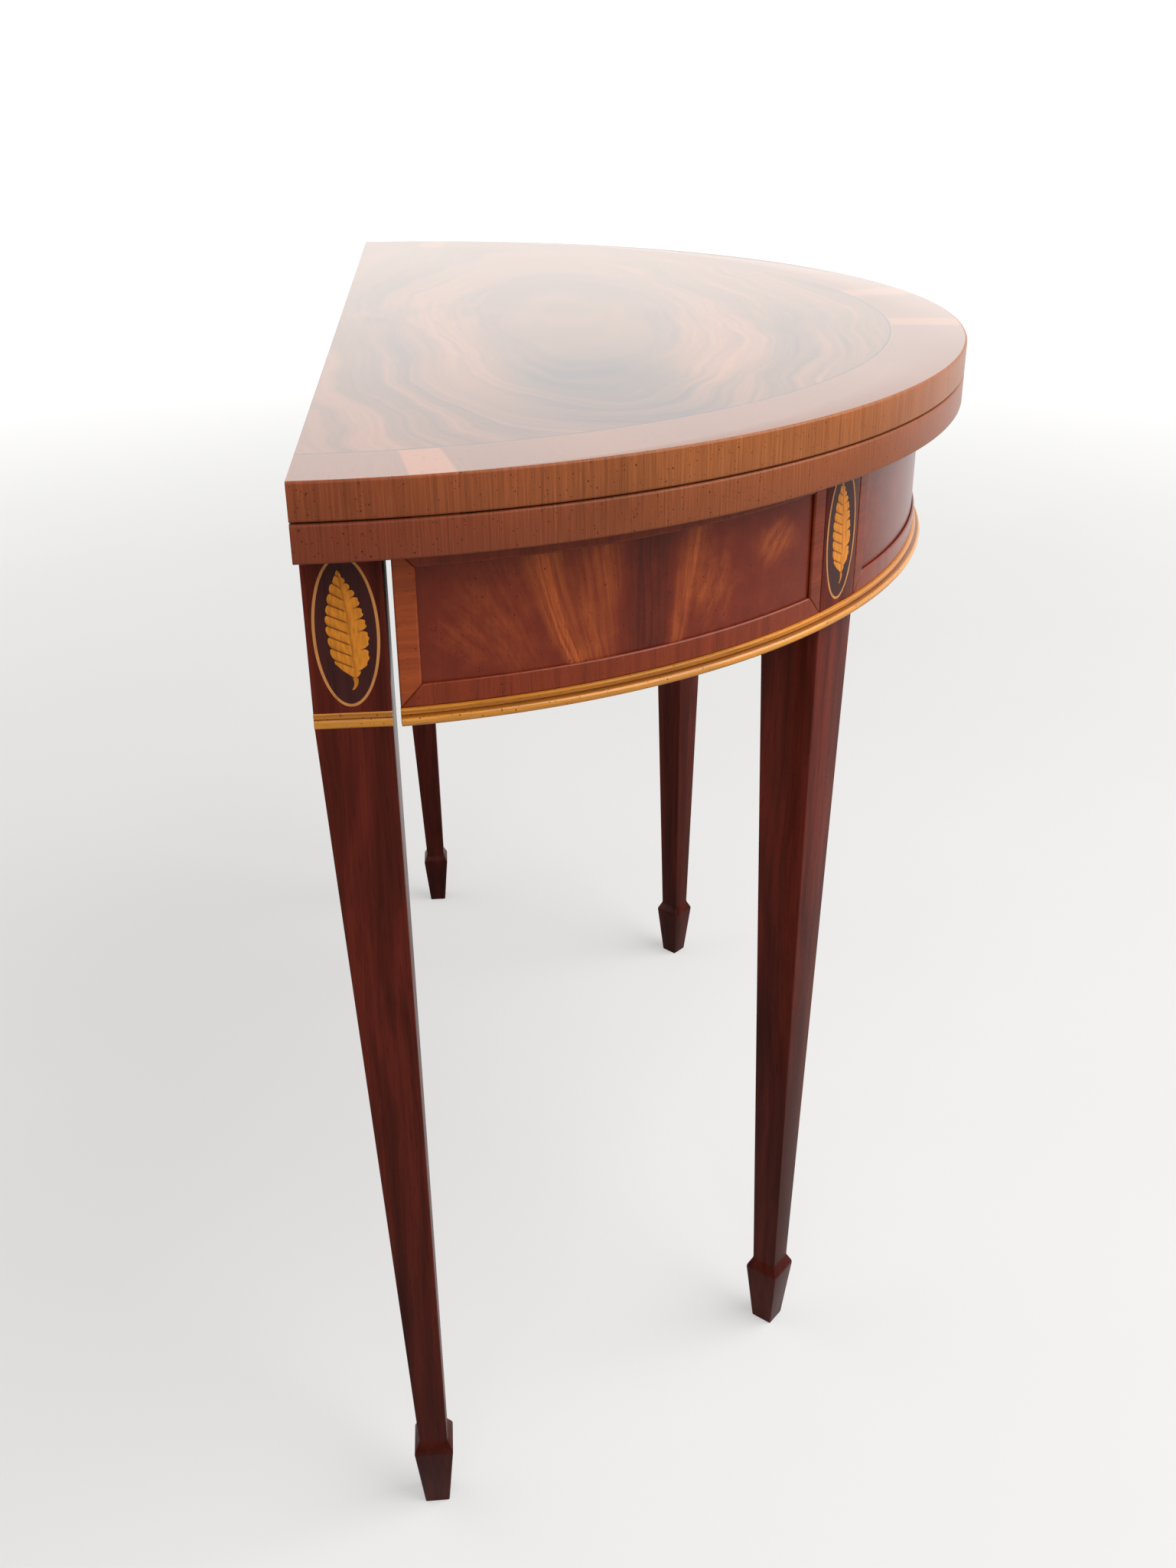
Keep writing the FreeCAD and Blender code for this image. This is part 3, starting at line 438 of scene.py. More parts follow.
def finish_surface(nodes, colour, roughness, height, bump, reach=0.0004, mirror=0.15, **sockets):
    """A Principled shader on a colour, a roughness and a height, with its other values set on its sockets."""
    lift = nodes.add("Bump", {"Strength": bump, "Distance": reach, "Height": height})
    shader = nodes.add("BsdfPrincipled", {"Base Color": colour, "Roughness": roughness, "Normal": lift.outputs[0],
                                          "Specular IOR Level": mirror, **sockets})
    nodes.add("OutputMaterial", {0: shader.outputs[0]})


def speckled(nodes, colour, vector, share, spacing=0.0042):
    """A colour with the finish's dark specks over it."""
    specks = nodes.effect("Finish specks", Vector=vector, Spacing=spacing, Share=share)["Specks"]
    return nodes.mix(specks * SPECK_DEPTH, colour, SPECK_COLOUR)


def straight_wood(nodes, colour, light, dark, width=1.0, axis="z", specks=0.35, gloss=0.22, pore=0.5, bent=False,
                  figure=0.0, mirror=0.2, tone=None):
    """Straight-grained wood: streaks between a dark and a light tone of one colour, fine lines, pores, specks.

    A figure is a share of broad wavy bands; tone gives a colour to multiply by, which on the legs and the mouldings
    paints shade and highlight.
    """
    base = getattr(colours(), colour)
    place = nodes.place()
    x, y, z = nodes.split(place)
    if bent:
        curve = nodes.effect("Bent wood", Vector=place)
        x, y = curve["Arc"], curve["Radius"]
        place = nodes.joined(x, y, z)
    along = nodes.joined(*{"x": (y, z, x), "y": (z, x, y), "z": (x, y, z)}[axis])
    grain = nodes.effect("Wood grain", Vector=along, Width=width)
    blend = grain["Lines"] * 0.35 + grain["Streaks"] * 0.65
    if figure:
        bands = nodes.span(nodes.noise(nodes.scaled(along, 34, 34, 4.5), 1.0, 3.0, 0.5, 1.6), 0.32, 0.68)
        blend = (bands - blend) * figure + blend
    surface = nodes.ramp(blend, (0.1, shaded(base, dark)), (0.5, tuple(base)), (0.95, shaded(base, light)))
    surface = nodes.mix(grain["Pores"] * pore, surface, shaded(base, 0.3))
    if tone:
        surface = nodes.mix(1.0, surface, tone(nodes), "MULTIPLY")
    surface = speckled(nodes, surface, place, specks)
    lacquer = nodes.effect("Rubbed lacquer", Vector=place, Gloss=gloss)
    height = lacquer["Height"] * 0.5 - grain["Pores"] * 0.5
    finish_surface(nodes, surface, lacquer["Roughness"], height, 0.06, mirror=mirror)


def painted_foot_shade(nodes):
    """Painted shade: legs darker towards the floor, as the light falls off lower down."""
    _, _, height = nodes.split(nodes.place())
    # Painted shade: the colour darkens by height towards the floor
    return nodes.mix(nodes.span(height, 0.0, 0.55), (0.52, 0.52, 0.54, 1), WHITE)


def fillet_tone_and_painted_light(nodes):
    """Moulding by height: a clear bead with painted shade at its foot, painted shade in the dark quirk above it, and
    a browner fillet with a painted highlight along its top edge.
    """
    _, _, height = nodes.split(nodes.place())
    share = (height - APRON_FOOT) / (MOULDING_TOP - APRON_FOOT)
    # Painted shade under the bead and in the quirk, and a painted highlight along the top edge
    return nodes.ramp(share, (0.0, (0.6, 0.5, 0.4, 1)), (0.10, WHITE), (0.5, WHITE),
                      (0.57, (0.4, 0.3, 0.22, 1)), (0.61, (0.4, 0.3, 0.22, 1)), (0.66, (0.7, 0.62, 0.56, 1)),
                      (0.88, (0.62, 0.53, 0.47, 1)), (0.95, (0.95, 0.9, 0.85, 1)))


WOODS = {
    # Dark red mahogany of the legs, with painted shade towards the floor
    "tapered_leg_wood": dict(colour="leg", light=1.7, dark=0.5, width=0.8, specks=0.25, figure=0.38, mirror=0.12,
                             tone=painted_foot_shade),
    # Rails of the apron's raised border, crossbanded: their grain stands upright
    "border_rail_wood": dict(colour="border", light=1.22, dark=0.76, bent=True, specks=0.5, mirror=0.3),
    # Upright strips of the border beside the front legs, crossbanded like the rails
    "border_stile_wood": dict(colour="border", light=1.2, dark=0.76, axis="x", bent=True, specks=0.5, mirror=0.3),
    # Lighter upright strips at the two ends of the apron
    "border_end_stile_wood": dict(colour="stile", light=1.2, dark=0.82, axis="x", bent=True, specks=0.5, mirror=0.3),
    # Yellow moulding round the apron, with many dark specks in the finish
    "satinwood_moulding": dict(colour="satinwood", light=1.2, dark=0.7, axis="x", bent=True, specks=0.9, pore=0.4,
                               mirror=0.45, tone=fillet_tone_and_painted_light),
    # Yellow bands across the fly legs
    "satinwood_band": dict(colour="satinwood", light=1.2, dark=0.7, axis="y", specks=0.9, pore=0.4, mirror=0.45,
                           tone=fillet_tone_and_painted_light),
    # Tan string and dark ground of the ovals
    "oval_string": dict(colour="string", light=1.15, dark=0.75, gloss=0.25, pore=0.3),
    "oval_dark_ground": dict(colour="ground", light=1.3, dark=0.7, specks=0.25),
    # Plain secondary wood of the inner frame, hardly finished, and the same wood inside the bent apron
    "frame_wood": dict(colour="inside", light=1.15, dark=0.8, axis="x", specks=0.1, gloss=0.62, pore=0.25),
    "bent_core_wood": dict(colour="inside", light=1.1, dark=0.75, axis="x", bent=True, specks=0.1, gloss=0.62,
                           pore=0.25),
}


def wood(label):
    """One of the straight-grained woods."""
    return once(label, lambda nodes: straight_wood(nodes, **WOODS[label]))


# How far before the back edge and below the seam between the leaves the edge's wood changes
BACK_MARGIN, SEAM_MARGIN = 0.0005, 0.0002


def edge_wood(nodes):
    """Crossbanded edge of a leaf: upright grain with fine lines, that drifts in tone along the edge, with painted
    light that makes it brighter round the curve than near its ends.
    """
    base = colours().edge
    place = nodes.place()
    x, y, height = nodes.split(place)
    bent = nodes.effect("Bent wood", Vector=place)
    straight = y > BACK - BACK_MARGIN
    arc = straight * (x - bent["Arc"]) + bent["Arc"]
    drift = nodes.noise(nodes.joined(arc, 0.0, height * 1.5), 5.0)
    lines = nodes.noise(nodes.joined(arc * 800.0, 0.0, height * 14.0), 1.0, 4.0, 0.75)
    colour = nodes.ramp(lines * 0.85 + (drift * 0.5 - 0.11), (0.3, shaded(base, 0.5)), (0.56, tuple(base)),
                        (0.82, shaded(base, 1.55)))
    # Painted light: the edge brighter round the curve and darker towards its ends, by which way it faces
    near_end = nodes.span(abs(bent["Angle"]), math.radians(56), math.radians(90))
    colour = nodes.mix(1.0, colour, nodes.mix(near_end, (1.46, 1.62, 1.6, 1), (1.06, 0.92, 1.1, 1)), "MULTIPLY")
    lower_leaf = height < LEAF_LOW.z - SEAM_MARGIN
    colour = nodes.mix(lower_leaf, colour, nodes.mix(1.0, colour, (0.80, 0.72, 0.86, 1), "MULTIPLY"))
    colour = speckled(nodes, colour, place, 0.6)
    lacquer = nodes.effect("Rubbed lacquer", Vector=place, Gloss=0.3)
    finish_surface(nodes, colour, lacquer["Roughness"], lines * 0.6 + lacquer["Height"] * 0.4, 0.05)


FIELD_MIDDLE = (0.02, 0.05)
FIELD_OVAL = 0.36
FIELD_EYE = 0.05
# Middle, reach and strength of the rings in the field
FIELD_RINGS = ((0.116, 0.028, 0.14), (0.154, 0.016, -0.15), (0.185, 0.022, 0.06))
HEART_X = -0.28
HEART_OVAL = 0.62
# Middle and half width, in degrees, of the pale strips across the border
PALE_STRIPS = ((9.2, 2.0), (81.0, 1.5))
STRIP_BLUR = 0.08
PALE_STRING_SHARE = 0.3


def figured_field(nodes, place, angle):
    """Figured field of the top, and its fine lines.

    The rings are long ovals, open at their tips, with a dark heart at the left: the ring value is the length of
    (oval (x - middle), y - middle, eye), bent by soft noise.
    """
    look = colours()
    x, y, _ = nodes.split(place)
    aside = y - FIELD_MIDDLE[1]
    drift = (nodes.noise(place, 3.6, 3.0, 0.5) - 0.5) * 0.11
    ring = nodes.length((x - FIELD_MIDDLE[0]) * FIELD_OVAL, aside, FIELD_EYE) + drift
    fine = nodes.noise(nodes.joined(ring * 240.0, angle * 1.6), 1.0, 4.0, 0.65)
    broad = nodes.noise(nodes.joined(ring * 24.0, angle * 0.7, 3.0), 1.0, 2.0, 0.5)
    streak = nodes.noise(nodes.joined(ring * 110.0, angle * 1.1, 7.0), 1.0, 3.0, 0.6)
    figure = (fine - 0.5) * nodes.span(ring, 0.05, 0.09, 0.3, 0.62) + (broad * 0.5 + 0.275)
    figure = figure + (streak - 0.5) * nodes.span(ring, 0.06, 0.11, 0.03, 0.32)
    broken = nodes.span(nodes.noise(place, 5.5, 2.0, 0.5), 0.36, 0.62, 0.5, 1.0)
    broken = broken * nodes.span(x, -0.1, 0.35, 1.0, 0.35) * nodes.span(abs(aside), 0.02, 0.07)
    for middle, reach, strength in FIELD_RINGS:
        figure = figure + nodes.span(abs(ring - middle), 0.0, reach, strength, 0.0) * broken
    heart = nodes.length((x - HEART_X) * HEART_OVAL, aside) + drift
    figure = figure + nodes.span(heart, 0.02, 0.085, -0.15, 0.0)
    field = nodes.ramp(figure, (0.3, tuple(look.field_dark)), (0.52, shaded(look.field_light, 0.5)),
                       (0.74, tuple(look.field_light)))
    return field, fine


def plain_field(nodes, place, angle):
    """Quiet field of a playing face, with its grain along the back edge, and its fine lines."""
    base = colours().crossband
    x, y, _ = nodes.split(place)
    grain = nodes.effect("Wood grain", Vector=nodes.joined(y, 0.0, x), Width=0.5)
    field = nodes.ramp(grain["Lines"] * 0.35 + grain["Streaks"] * 0.65, (0.1, shaded(base, 0.5)),
                       (0.6, shaded(base, 0.85)), (0.95, shaded(base, 1.15)))
    return field, grain["Lines"]


def leaf_face(nodes, field, gloss, coat, coat_roughness):
    """Face of a leaf: its field, a string line, and a crossbanded border of radial grain with pale strips."""
    settings, look = sizes(), colours()
    place = nodes.place()
    bent = nodes.effect("Bent wood", Vector=place)
    radius, angle = bent["Radius"], bent["Angle"]
    surface, fine = field(nodes, place, angle)
    grain = nodes.noise(nodes.joined(angle * 520.0, radius * 24.0), 1.0, 4.0, 0.65)
    drift = nodes.noise(nodes.joined(angle * 4.0, 0.0), 1.0, 2.0)
    band = nodes.ramp(grain * 0.55 + drift * 0.45, (0.32, shaded(look.crossband, 0.72)),
                      (0.55, tuple(look.crossband)), (0.78, shaded(look.crossband, 1.3)))
    pale = 0.0
    for middle, half in PALE_STRIPS:
        away = abs(abs(angle) - math.radians(middle))
        strip = nodes.span(away, math.radians(half - STRIP_BLUR), math.radians(half + STRIP_BLUR), 1.0, 0.0)
        pale = nodes.math("MAXIMUM", pale, strip)
    band = nodes.mix(pale * 0.6, band, shaded(look.field_light, 1.35))
    line_out = settings.string_radius
    line_in = line_out - settings.string_line
    line_break = line_out - PALE_STRING_SHARE * settings.string_line
    surface = nodes.mix(nodes.span(radius, line_out - CLEARANCE, line_out + CLEARANCE), surface, band)
    surface = nodes.mix((radius > line_break) * (radius < line_out), surface, shaded(look.string, 0.75))
    surface = nodes.mix((radius > line_in) * (radius < line_break), surface, shaded(look.ground, 0.6))
    surface = speckled(nodes, surface, place, 0.25, 0.010)
    lacquer = nodes.effect("Rubbed lacquer", Vector=place, Gloss=gloss, Spread=0.06)
    finish_surface(nodes, surface, lacquer["Roughness"], fine * 0.25 + lacquer["Height"] * 0.5, 0.02, mirror=0.4,
                   **{"Coat Weight": coat, "Coat Roughness": coat_roughness})


def outer_veneer(nodes):
    """Figured and polished face of the upper leaf."""
    leaf_face(nodes, figured_field, 0.2, 1.0, 0.1)


def inner_veneer(nodes):
    """Quieter playing faces of both leaves."""
    leaf_face(nodes, plain_field, 0.26, 0.4, 0.24)


SIDE_SEAM_ANGLE = math.radians(64.7)


def panel_veneer(nodes):
    """Crotch mahogany of the apron's panels: one pair of leaves at each side, two pairs in front."""
    look = colours()
    place = nodes.place()
    _, _, height = nodes.split(place)
    bent = nodes.effect("Bent wood", Vector=place)
    turn = abs(bent["Angle"])
    arc = turn * BORDER_RADIUS
    side = turn > FRONT_LEG_ANGLE
    before = nodes.math("PINGPONG", arc, FRONT_LEG_ANGLE * BORDER_RADIUS / 2)
    across = side * (SIDE_SEAM_ANGLE * BORDER_RADIUS - arc - before) + before
    foot = MOULDING_TOP + BORDER_WIDTH
    rise = (height - foot) / (FRAME_TOP - BORDER_WIDTH - foot)
    figure = nodes.effect("Crotch veneer", Across=across, Rise=rise, Patches=side * 0.7 + 0.3)["Figure"]
    colour = nodes.ramp(figure, (0.0, shaded(look.panel_dark, 0.42)), (0.3, tuple(look.panel_dark)),
                        (0.62, shaded(look.panel_light, 0.6)), (0.95, tuple(look.panel_light)))
    lines = nodes.effect("Wood grain", Vector=nodes.joined(arc, bent["Radius"], height), Width=1.3)["Lines"]
    colour = nodes.mix(lines * 0.28, colour, shaded(look.panel_dark, 0.6))
    colour = speckled(nodes, colour, place, 0.45)
    lacquer = nodes.effect("Rubbed lacquer", Vector=place, Gloss=0.22)
    finish_surface(nodes, colour, lacquer["Roughness"], lines * 0.3 + lacquer["Height"] * 0.5, 0.03, mirror=0.3)


def fern_wood(nodes):
    """Satinwood leaf figure, shaded by hot sand: brown along the veins, by the piece's own attribute."""
    base = colours().leaf_figure
    place = nodes.place()
    burn = nodes.named(nodes.add("Attribute", attribute_name="burn"))["Fac"]
    grain = nodes.noise(nodes.scaled(place, 700, 700, 160))
    colour = nodes.ramp(grain, (0.3, shaded(base, 0.72)), (0.7, shaded(base, 1.15)))
    colour = nodes.mix(burn, colour, linear(104, 50, 21))
    lacquer = nodes.effect("Rubbed lacquer", Vector=place, Gloss=0.26)
    finish_surface(nodes, colour, lacquer["Roughness"], lacquer["Height"], 0.03)


def metal(nodes, base, gloss):
    """Handled metal: duller and darker in clouds, with fine brush marks."""
    place = nodes.place()
    cloud = nodes.noise(place, 120.0, 4.0)
    marks = nodes.noise(nodes.scaled(place, 300, 2500, 2500), detail=2.0)
    colour = nodes.ramp(cloud, (0.3, shaded(base, 0.55)), (0.65, tuple(base)))
    finish_surface(nodes, colour, cloud * -0.2 + (gloss + 0.1), marks, 0.05, 0.0001, 0.5, Metallic=1.0)


def brass(nodes):
    """Dull brass of the hinges."""
    metal(nodes, colours().brass, 0.38)


def steel(nodes):
    """Plain steel of the pins and frame screws."""
    metal(nodes, colours().steel, 0.42)


def polar(radius, angle, height):
    """Points round the middle of the back edge: x = r sin a, y = back - r cos a."""
    radius, angle, height = np.broadcast_arrays(radius, angle, height)
    return np.stack([radius * np.sin(angle), BACK - radius * np.cos(angle), height], axis=-1)


def arc_points(centre, radii, start, end, steps):
    """Part of an ellipse: centre + (a cos t, b sin t), for t from start to end."""
    turn = np.linspace(start, end, steps)
    return np.stack([centre[0] + radii[0] * np.cos(turn), centre[1] + radii[1] * np.sin(turn)], axis=-1)


def grid_quads(rows, columns, wrap=False, ring=False):
    """Quads over a grid of points numbered row by row.

    Wrap joins the last column to the first, and ring the last row to the first.
    """
    index = np.arange(rows * columns).reshape(rows, columns)
    if ring:
        index = np.concatenate([index, index[:1]])
    if wrap:
        index = np.concatenate([index, index[:, :1]], axis=1)
    return np.stack([index[:-1, :-1], index[1:, :-1], index[1:, 1:], index[:-1, 1:]], axis=-1).reshape(-1, 4)


def tube_faces(rows, count, caps=None):
    """Faces of a closed tube: quads between its loops of points, and caps on the first loop and the last."""
    faces = grid_quads(rows, count, wrap=True).tolist()
    last = (rows - 1) * count
    for cap in caps or [list(range(count))]:
        faces += [cap, [last + index for index in reversed(cap)]]
    return faces


def merged(shells):
    """Shells, each of points and faces, as one array of points and one list of faces."""
    points, faces, start = [], [], 0
    for shell, shell_faces in shells:
        points.append(np.reshape(shell, (-1, 3)))
        faces += [[start + index for index in face] for face in shell_faces]
        start += len(points[-1])
    return np.concatenate(points), faces


def make_piece(name, points, faces, materials, body, node, indices=None, bevel=None, burn=None):
    """A mesh piece from points and faces that rides on a body and stands for a CAD node.

    Doubled points are merged, faces are turned outwards, and edges past the smoothing angle stay sharp.
    """
    mesh = bpy.data.meshes.new(name)
    mesh.from_pydata(np.asarray(points, float).reshape(-1, 3).tolist(), [], [list(map(int, face)) for face in faces])
    if indices is not None:
        mesh.polygons.foreach_set("material_index", np.asarray(indices, np.int32))
    if burn is not None:
        mesh.attributes.new("burn", "FLOAT", "POINT").data.foreach_set("value", np.asarray(burn, np.float32))
    work = bmesh.new()
    work.from_mesh(mesh)
    bmesh.ops.remove_doubles(work, verts=work.verts, dist=MERGE_DISTANCE)
    bmesh.ops.dissolve_degenerate(work, edges=work.edges, dist=MERGE_DISTANCE / 2)
    bmesh.ops.recalc_face_normals(work, faces=work.faces)
    work.to_mesh(mesh)
    work.free()
    for material in materials:
        mesh.materials.append(material)
    mesh.polygons.foreach_set("use_smooth", np.ones(len(mesh.polygons), bool))
    mesh.set_sharp_from_angle(angle=SMOOTH_ANGLE)
    piece = bpy.data.objects.new(name, mesh)
    bpy.context.scene.collection.objects.link(piece)
    if bevel:
        ease = piece.modifiers.new("Ease", "BEVEL")
        ease.width = bevel
        ease.segments = 2
        ease.limit_method = "ANGLE"
        ease.angle_limit = EASE_ANGLE
    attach(piece, body)
    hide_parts(node)


def dress(material, *nodes):
    """A material for CAD nodes whose shape is right."""
    for label in nodes:
        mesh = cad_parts[label].data
        mesh.materials.clear()
        mesh.materials.append(material)


def leg_body(leg):
    """The body that carries a leg: the rear legs swing, the front legs are part of the frame."""
    return leg.replace("rear_", "") + "_fly_leg" if leg.startswith("rear") else "table_frame"


def arc_sweep(radius, height, start, end, steps, caps=None):
    """A closed outline of radii and heights carried round the back edge's middle, from start to end angles.

    Each point of the outline has its own first and last angle, so the ends may be cut on any plane.
    """
    share = np.linspace(0, 1, steps)[:, None]
    start, end = (np.broadcast_to(value, np.shape(radius)) for value in (start, end))
    points = polar(radius, start + (end - start) * share, height)
    return points, tube_faces(steps, len(radius), caps)


def end_plane(radius, depth):
    """Angle at which a circle meets the plane that lies a depth before the back edge, at the left end."""
    return np.arcsin(depth / np.asarray(radius)) - QUARTER_TURN


def leg_plane(radius, offset):
    """Angle at which a circle meets a plane beside the left front leg, an offset from the leg's middle."""
    return -FRONT_LEG_ANGLE + np.arcsin(offset / np.asarray(radius))


LEAF_ROWS = 12
LEAF_COLUMN = 0.004
ARRIS_STEPS = 5
FACE_PART, INNER_PART, BACK_PART, EDGE_PART = range(4)


def leaf_surface(low, high, outer_up, notches, rise):
    """A half-round leaf as one loop of points per column, the columns running along the back edge.

    Each loop is the outer face from the curve to the back, the back edge with the hinge mortise, the inner
    face back to the curve, and the curved edge with its two arrises. Columns double at the mortises' sides.
    """
    arris = sizes().leaf_arris
    face_radius = TOP_RADIUS - arris
    edges = [-face_radius, *(x for notch in notches for x in notch), face_radius]
    runs = [np.linspace(math.asin(max(-1, first / face_radius)), math.asin(min(1, second / face_radius)),
                        max(9, int(abs(second - first) / LEAF_COLUMN)))
            for first, second in zip(edges, edges[1:])]
    angle = np.concatenate(runs)
    mortised = np.concatenate([np.full(len(run), bool(index % 2)) for index, run in enumerate(runs)])
    outer, inner = (high, low) if outer_up else (low, high)
    floor = inner + rise if outer_up else inner - rise
    reach = face_radius * np.cos(angle)
    reach[[0, -1]] = 0
    across = face_radius * np.sin(angle)
    first_row = np.minimum(MORTISE_DEPTH, reach)
    ahead = first_row[:, None] + (reach - first_row)[:, None] * np.linspace(0, 1, LEAF_ROWS)

    def at(forward, z):
        """Points of every column, a distance before the back edge and at a height."""
        return np.stack(np.broadcast_arrays(across[:, None], BACK - forward, z), axis=-1)

    zero = np.zeros_like(across)[:, None]
    outer_face = at(np.concatenate([ahead[:, ::-1], zero], axis=1), outer)
    mortise_top = at(zero, floor)
    corner = at(np.where(mortised, first_row, 0.0)[:, None], np.where(mortised, floor, inner)[:, None])
    inner_face = at(ahead, inner)
    radii = (arris, arris)
    low_arc = arc_points((face_radius, low + arris), radii, -QUARTER_TURN, 0.0, ARRIS_STEPS)
    top_arc = arc_points((face_radius, high - arris), radii, 0.0, QUARTER_TURN, ARRIS_STEPS)
    profile = np.concatenate([low_arc, top_arc])
    if not outer_up:
        profile = profile[::-1]
    curve = polar(profile[1:-1, 0], angle[:, None], profile[1:-1, 1])
    curve[[0, -1], :, 1] = BACK
    loop = np.concatenate([outer_face, mortise_top, corner, inner_face, curve], axis=1)
    columns, count = loop.shape[:2]
    parts = ([FACE_PART] * LEAF_ROWS + [BACK_PART] * 3 + [INNER_PART] * (LEAF_ROWS - 1)
             + [EDGE_PART] * (len(profile) - 1))
    return loop, tube_faces(columns, count), parts * (columns - 1) + [BACK_PART, BACK_PART]


class GAMESTABLE_OT_leaves(bpy.types.Operator):
    """Both half-round leaves, with figured faces, crossbanded edges and mortises for the hinges"""

    bl_idname = "games_table.leaves"
    bl_label = "Leaves"

    def execute(self, context):
        inner, edge = once("playing_face_veneer", inner_veneer), once("crossbanded_edge", edge_wood)
        for label, kind, outer_up, body, face in (
                ("upper_leaf", "moving", True, "upper_leaf", once("figured_top_veneer", outer_veneer)),
                ("lower_leaf", "fixed", False, "table_frame", wood("frame_wood"))):
            low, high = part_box(label)
            plates = [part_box(f"{side}_hinge_{kind}_plate") for side in ("left", "right")]
            notches = [(plate[0].x - CLEARANCE, plate[1].x + CLEARANCE) for plate in plates]
            rise = plates[0][1].z - low.z if outer_up else high.z - plates[0][0].z
            points, faces, parts = leaf_surface(low.z, high.z, outer_up, notches, rise + CLEARANCE)
            make_piece(f"{label}_board", points, faces, [face, inner, edge, edge], body, label, parts)
        return {"FINISHED"}


def run_ends(side):
    """Functions for the start and end angles of one run of the apron, by radius and by width of stile."""
    half = BLOCK / 2
    if side == "front":
        return (lambda radius, stile: leg_plane(radius, half + stile),
                lambda radius, stile: -leg_plane(radius, half + stile))
    left = (lambda radius, stile: end_plane(radius, END_DEPTH + stile),
            lambda radius, stile: leg_plane(radius, -half - stile))
    if side == "left":
        return left
    return (lambda radius, stile: -left[1](radius, stile)), (lambda radius, stile: -left[0](radius, stile))


FRONT_STEPS, SIDE_STEPS, STILE_STEPS, MOULDING_STEPS = 97, 65, 5, 193


class GAMESTABLE_OT_aprons(bpy.types.Operator):
    """Bent cores of the apron, veneered with crotch mahogany outside and bare inside"""

    bl_idname = "games_table.aprons"
    bl_label = "Apron cores"

    def execute(self, context):
        materials = [once("crotch_veneer", panel_veneer), wood("bent_core_wood")]
        radius = CORE_RADIUS - CORE_THICKNESS * np.array([1, 0, 0, 1])
        height = np.array([APRON_FOOT, APRON_FOOT, FRAME_TOP, FRAME_TOP])
        for side, steps in (("front", FRONT_STEPS), ("left", SIDE_STEPS), ("right", SIDE_STEPS)):
            start, end = run_ends(side)
            points, faces = arc_sweep(radius, height, start(radius, 0.0), end(radius, 0.0), steps)
            make_piece(f"{side}_apron_core", points, faces, materials, "table_frame", f"{side}_apron",
                       [1, 0, 1, 1] * (steps - 1) + [1, 1])
        return {"FINISHED"}


class GAMESTABLE_OT_borders(bpy.types.Operator):
    """Raised border round each panel of the apron: rails and stiles that meet in mitres"""

    bl_idname = "games_table.borders"
    bl_label = "Apron borders"

    def execute(self, context):
        rail, stile, end_stile = (wood(f"border_{kind}_wood") for kind in ("rail", "stile", "end_stile"))
        ease = sizes().border_ease
        low, high = MOULDING_TOP, FRAME_TOP
        rail_radius = np.array([CORE_RADIUS, BORDER_RADIUS, BORDER_RADIUS, CORE_RADIUS])
        levels = np.array([low, low + BORDER_WIDTH, high - BORDER_WIDTH, high])
        stile_radius = np.repeat([BORDER_RADIUS, CORE_RADIUS], 4)
        stile_height = np.concatenate([levels, levels[::-1]])
        mitre = STILE_WIDTH * np.array([0, 1, 1, 0, 0, 1, 1, 0])
        caps = [[0, 1, 6, 7], [1, 2, 5, 6], [2, 3, 4, 5]]
        for side, first, last in (("front", "left", "right"), ("left", "rear", "fore"), ("right", "fore", "rear")):
            start, end = run_ends(side)
            for place, heights, widths in (("top", levels[2:], (STILE_WIDTH, 0.0)),
                                           ("bottom", levels[:2], (0.0, STILE_WIDTH))):
                width = np.repeat(widths, 2)
                points, faces = arc_sweep(rail_radius, np.repeat(heights, 2), start(rail_radius, width),
                                          end(rail_radius, width), FRONT_STEPS)
                make_piece(f"{side}_border_{place}_rail", points, faces, [rail], "table_frame",
                           f"{side}_border_{place}", bevel=ease)
            for label, near, far in ((first, start(stile_radius, 0.0), start(stile_radius, mitre)),
                                     (last, end(stile_radius, mitre), end(stile_radius, 0.0))):
                points, faces = arc_sweep(stile_radius, stile_height, near, far, STILE_STEPS, caps)
                make_piece(f"{side}_border_{label}_stile", points, faces, [end_stile if label == "rear" else stile],
                           "table_frame", f"{side}_border_{label}", bevel=ease)
        return {"FINISHED"}


BEAD_STEPS = 13
FILLET_STAND = 0.002
BAND_SWELL = 0.0008
BAND_FILLET = 0.00035
# Points of the fillet's foot, from the top of the bead, and of its arris, from the top of the moulding
MOULDING_QUIRK, MOULDING_ARRIS = ((-0.0006, 0.0003), (0, 0.0009)), ((0, -0.0007), (-0.0003, -0.0002), (-0.0009, 0))
BAND_QUIRK, BAND_ARRIS = ((-0.0004, 0.0003), (0, 0.0008)), ((0, -0.0005), (-0.0005, 0))


def bead_outline(face, swell, fillet, back, foot, top, quirk, arris):
    """Outline of a moulding in reach and height: a half-round bead under a narrow flat fillet."""
    bead = sizes().bead_radius
    rounded = arc_points((face - swell, foot + bead), (swell, bead), -QUARTER_TURN, QUARTER_TURN, BEAD_STEPS)
    return np.concatenate([rounded, np.array(quirk) + (fillet, foot + 2 * bead), np.array(arris) + (fillet, top),
                           [(back, top), (back, foot)]])


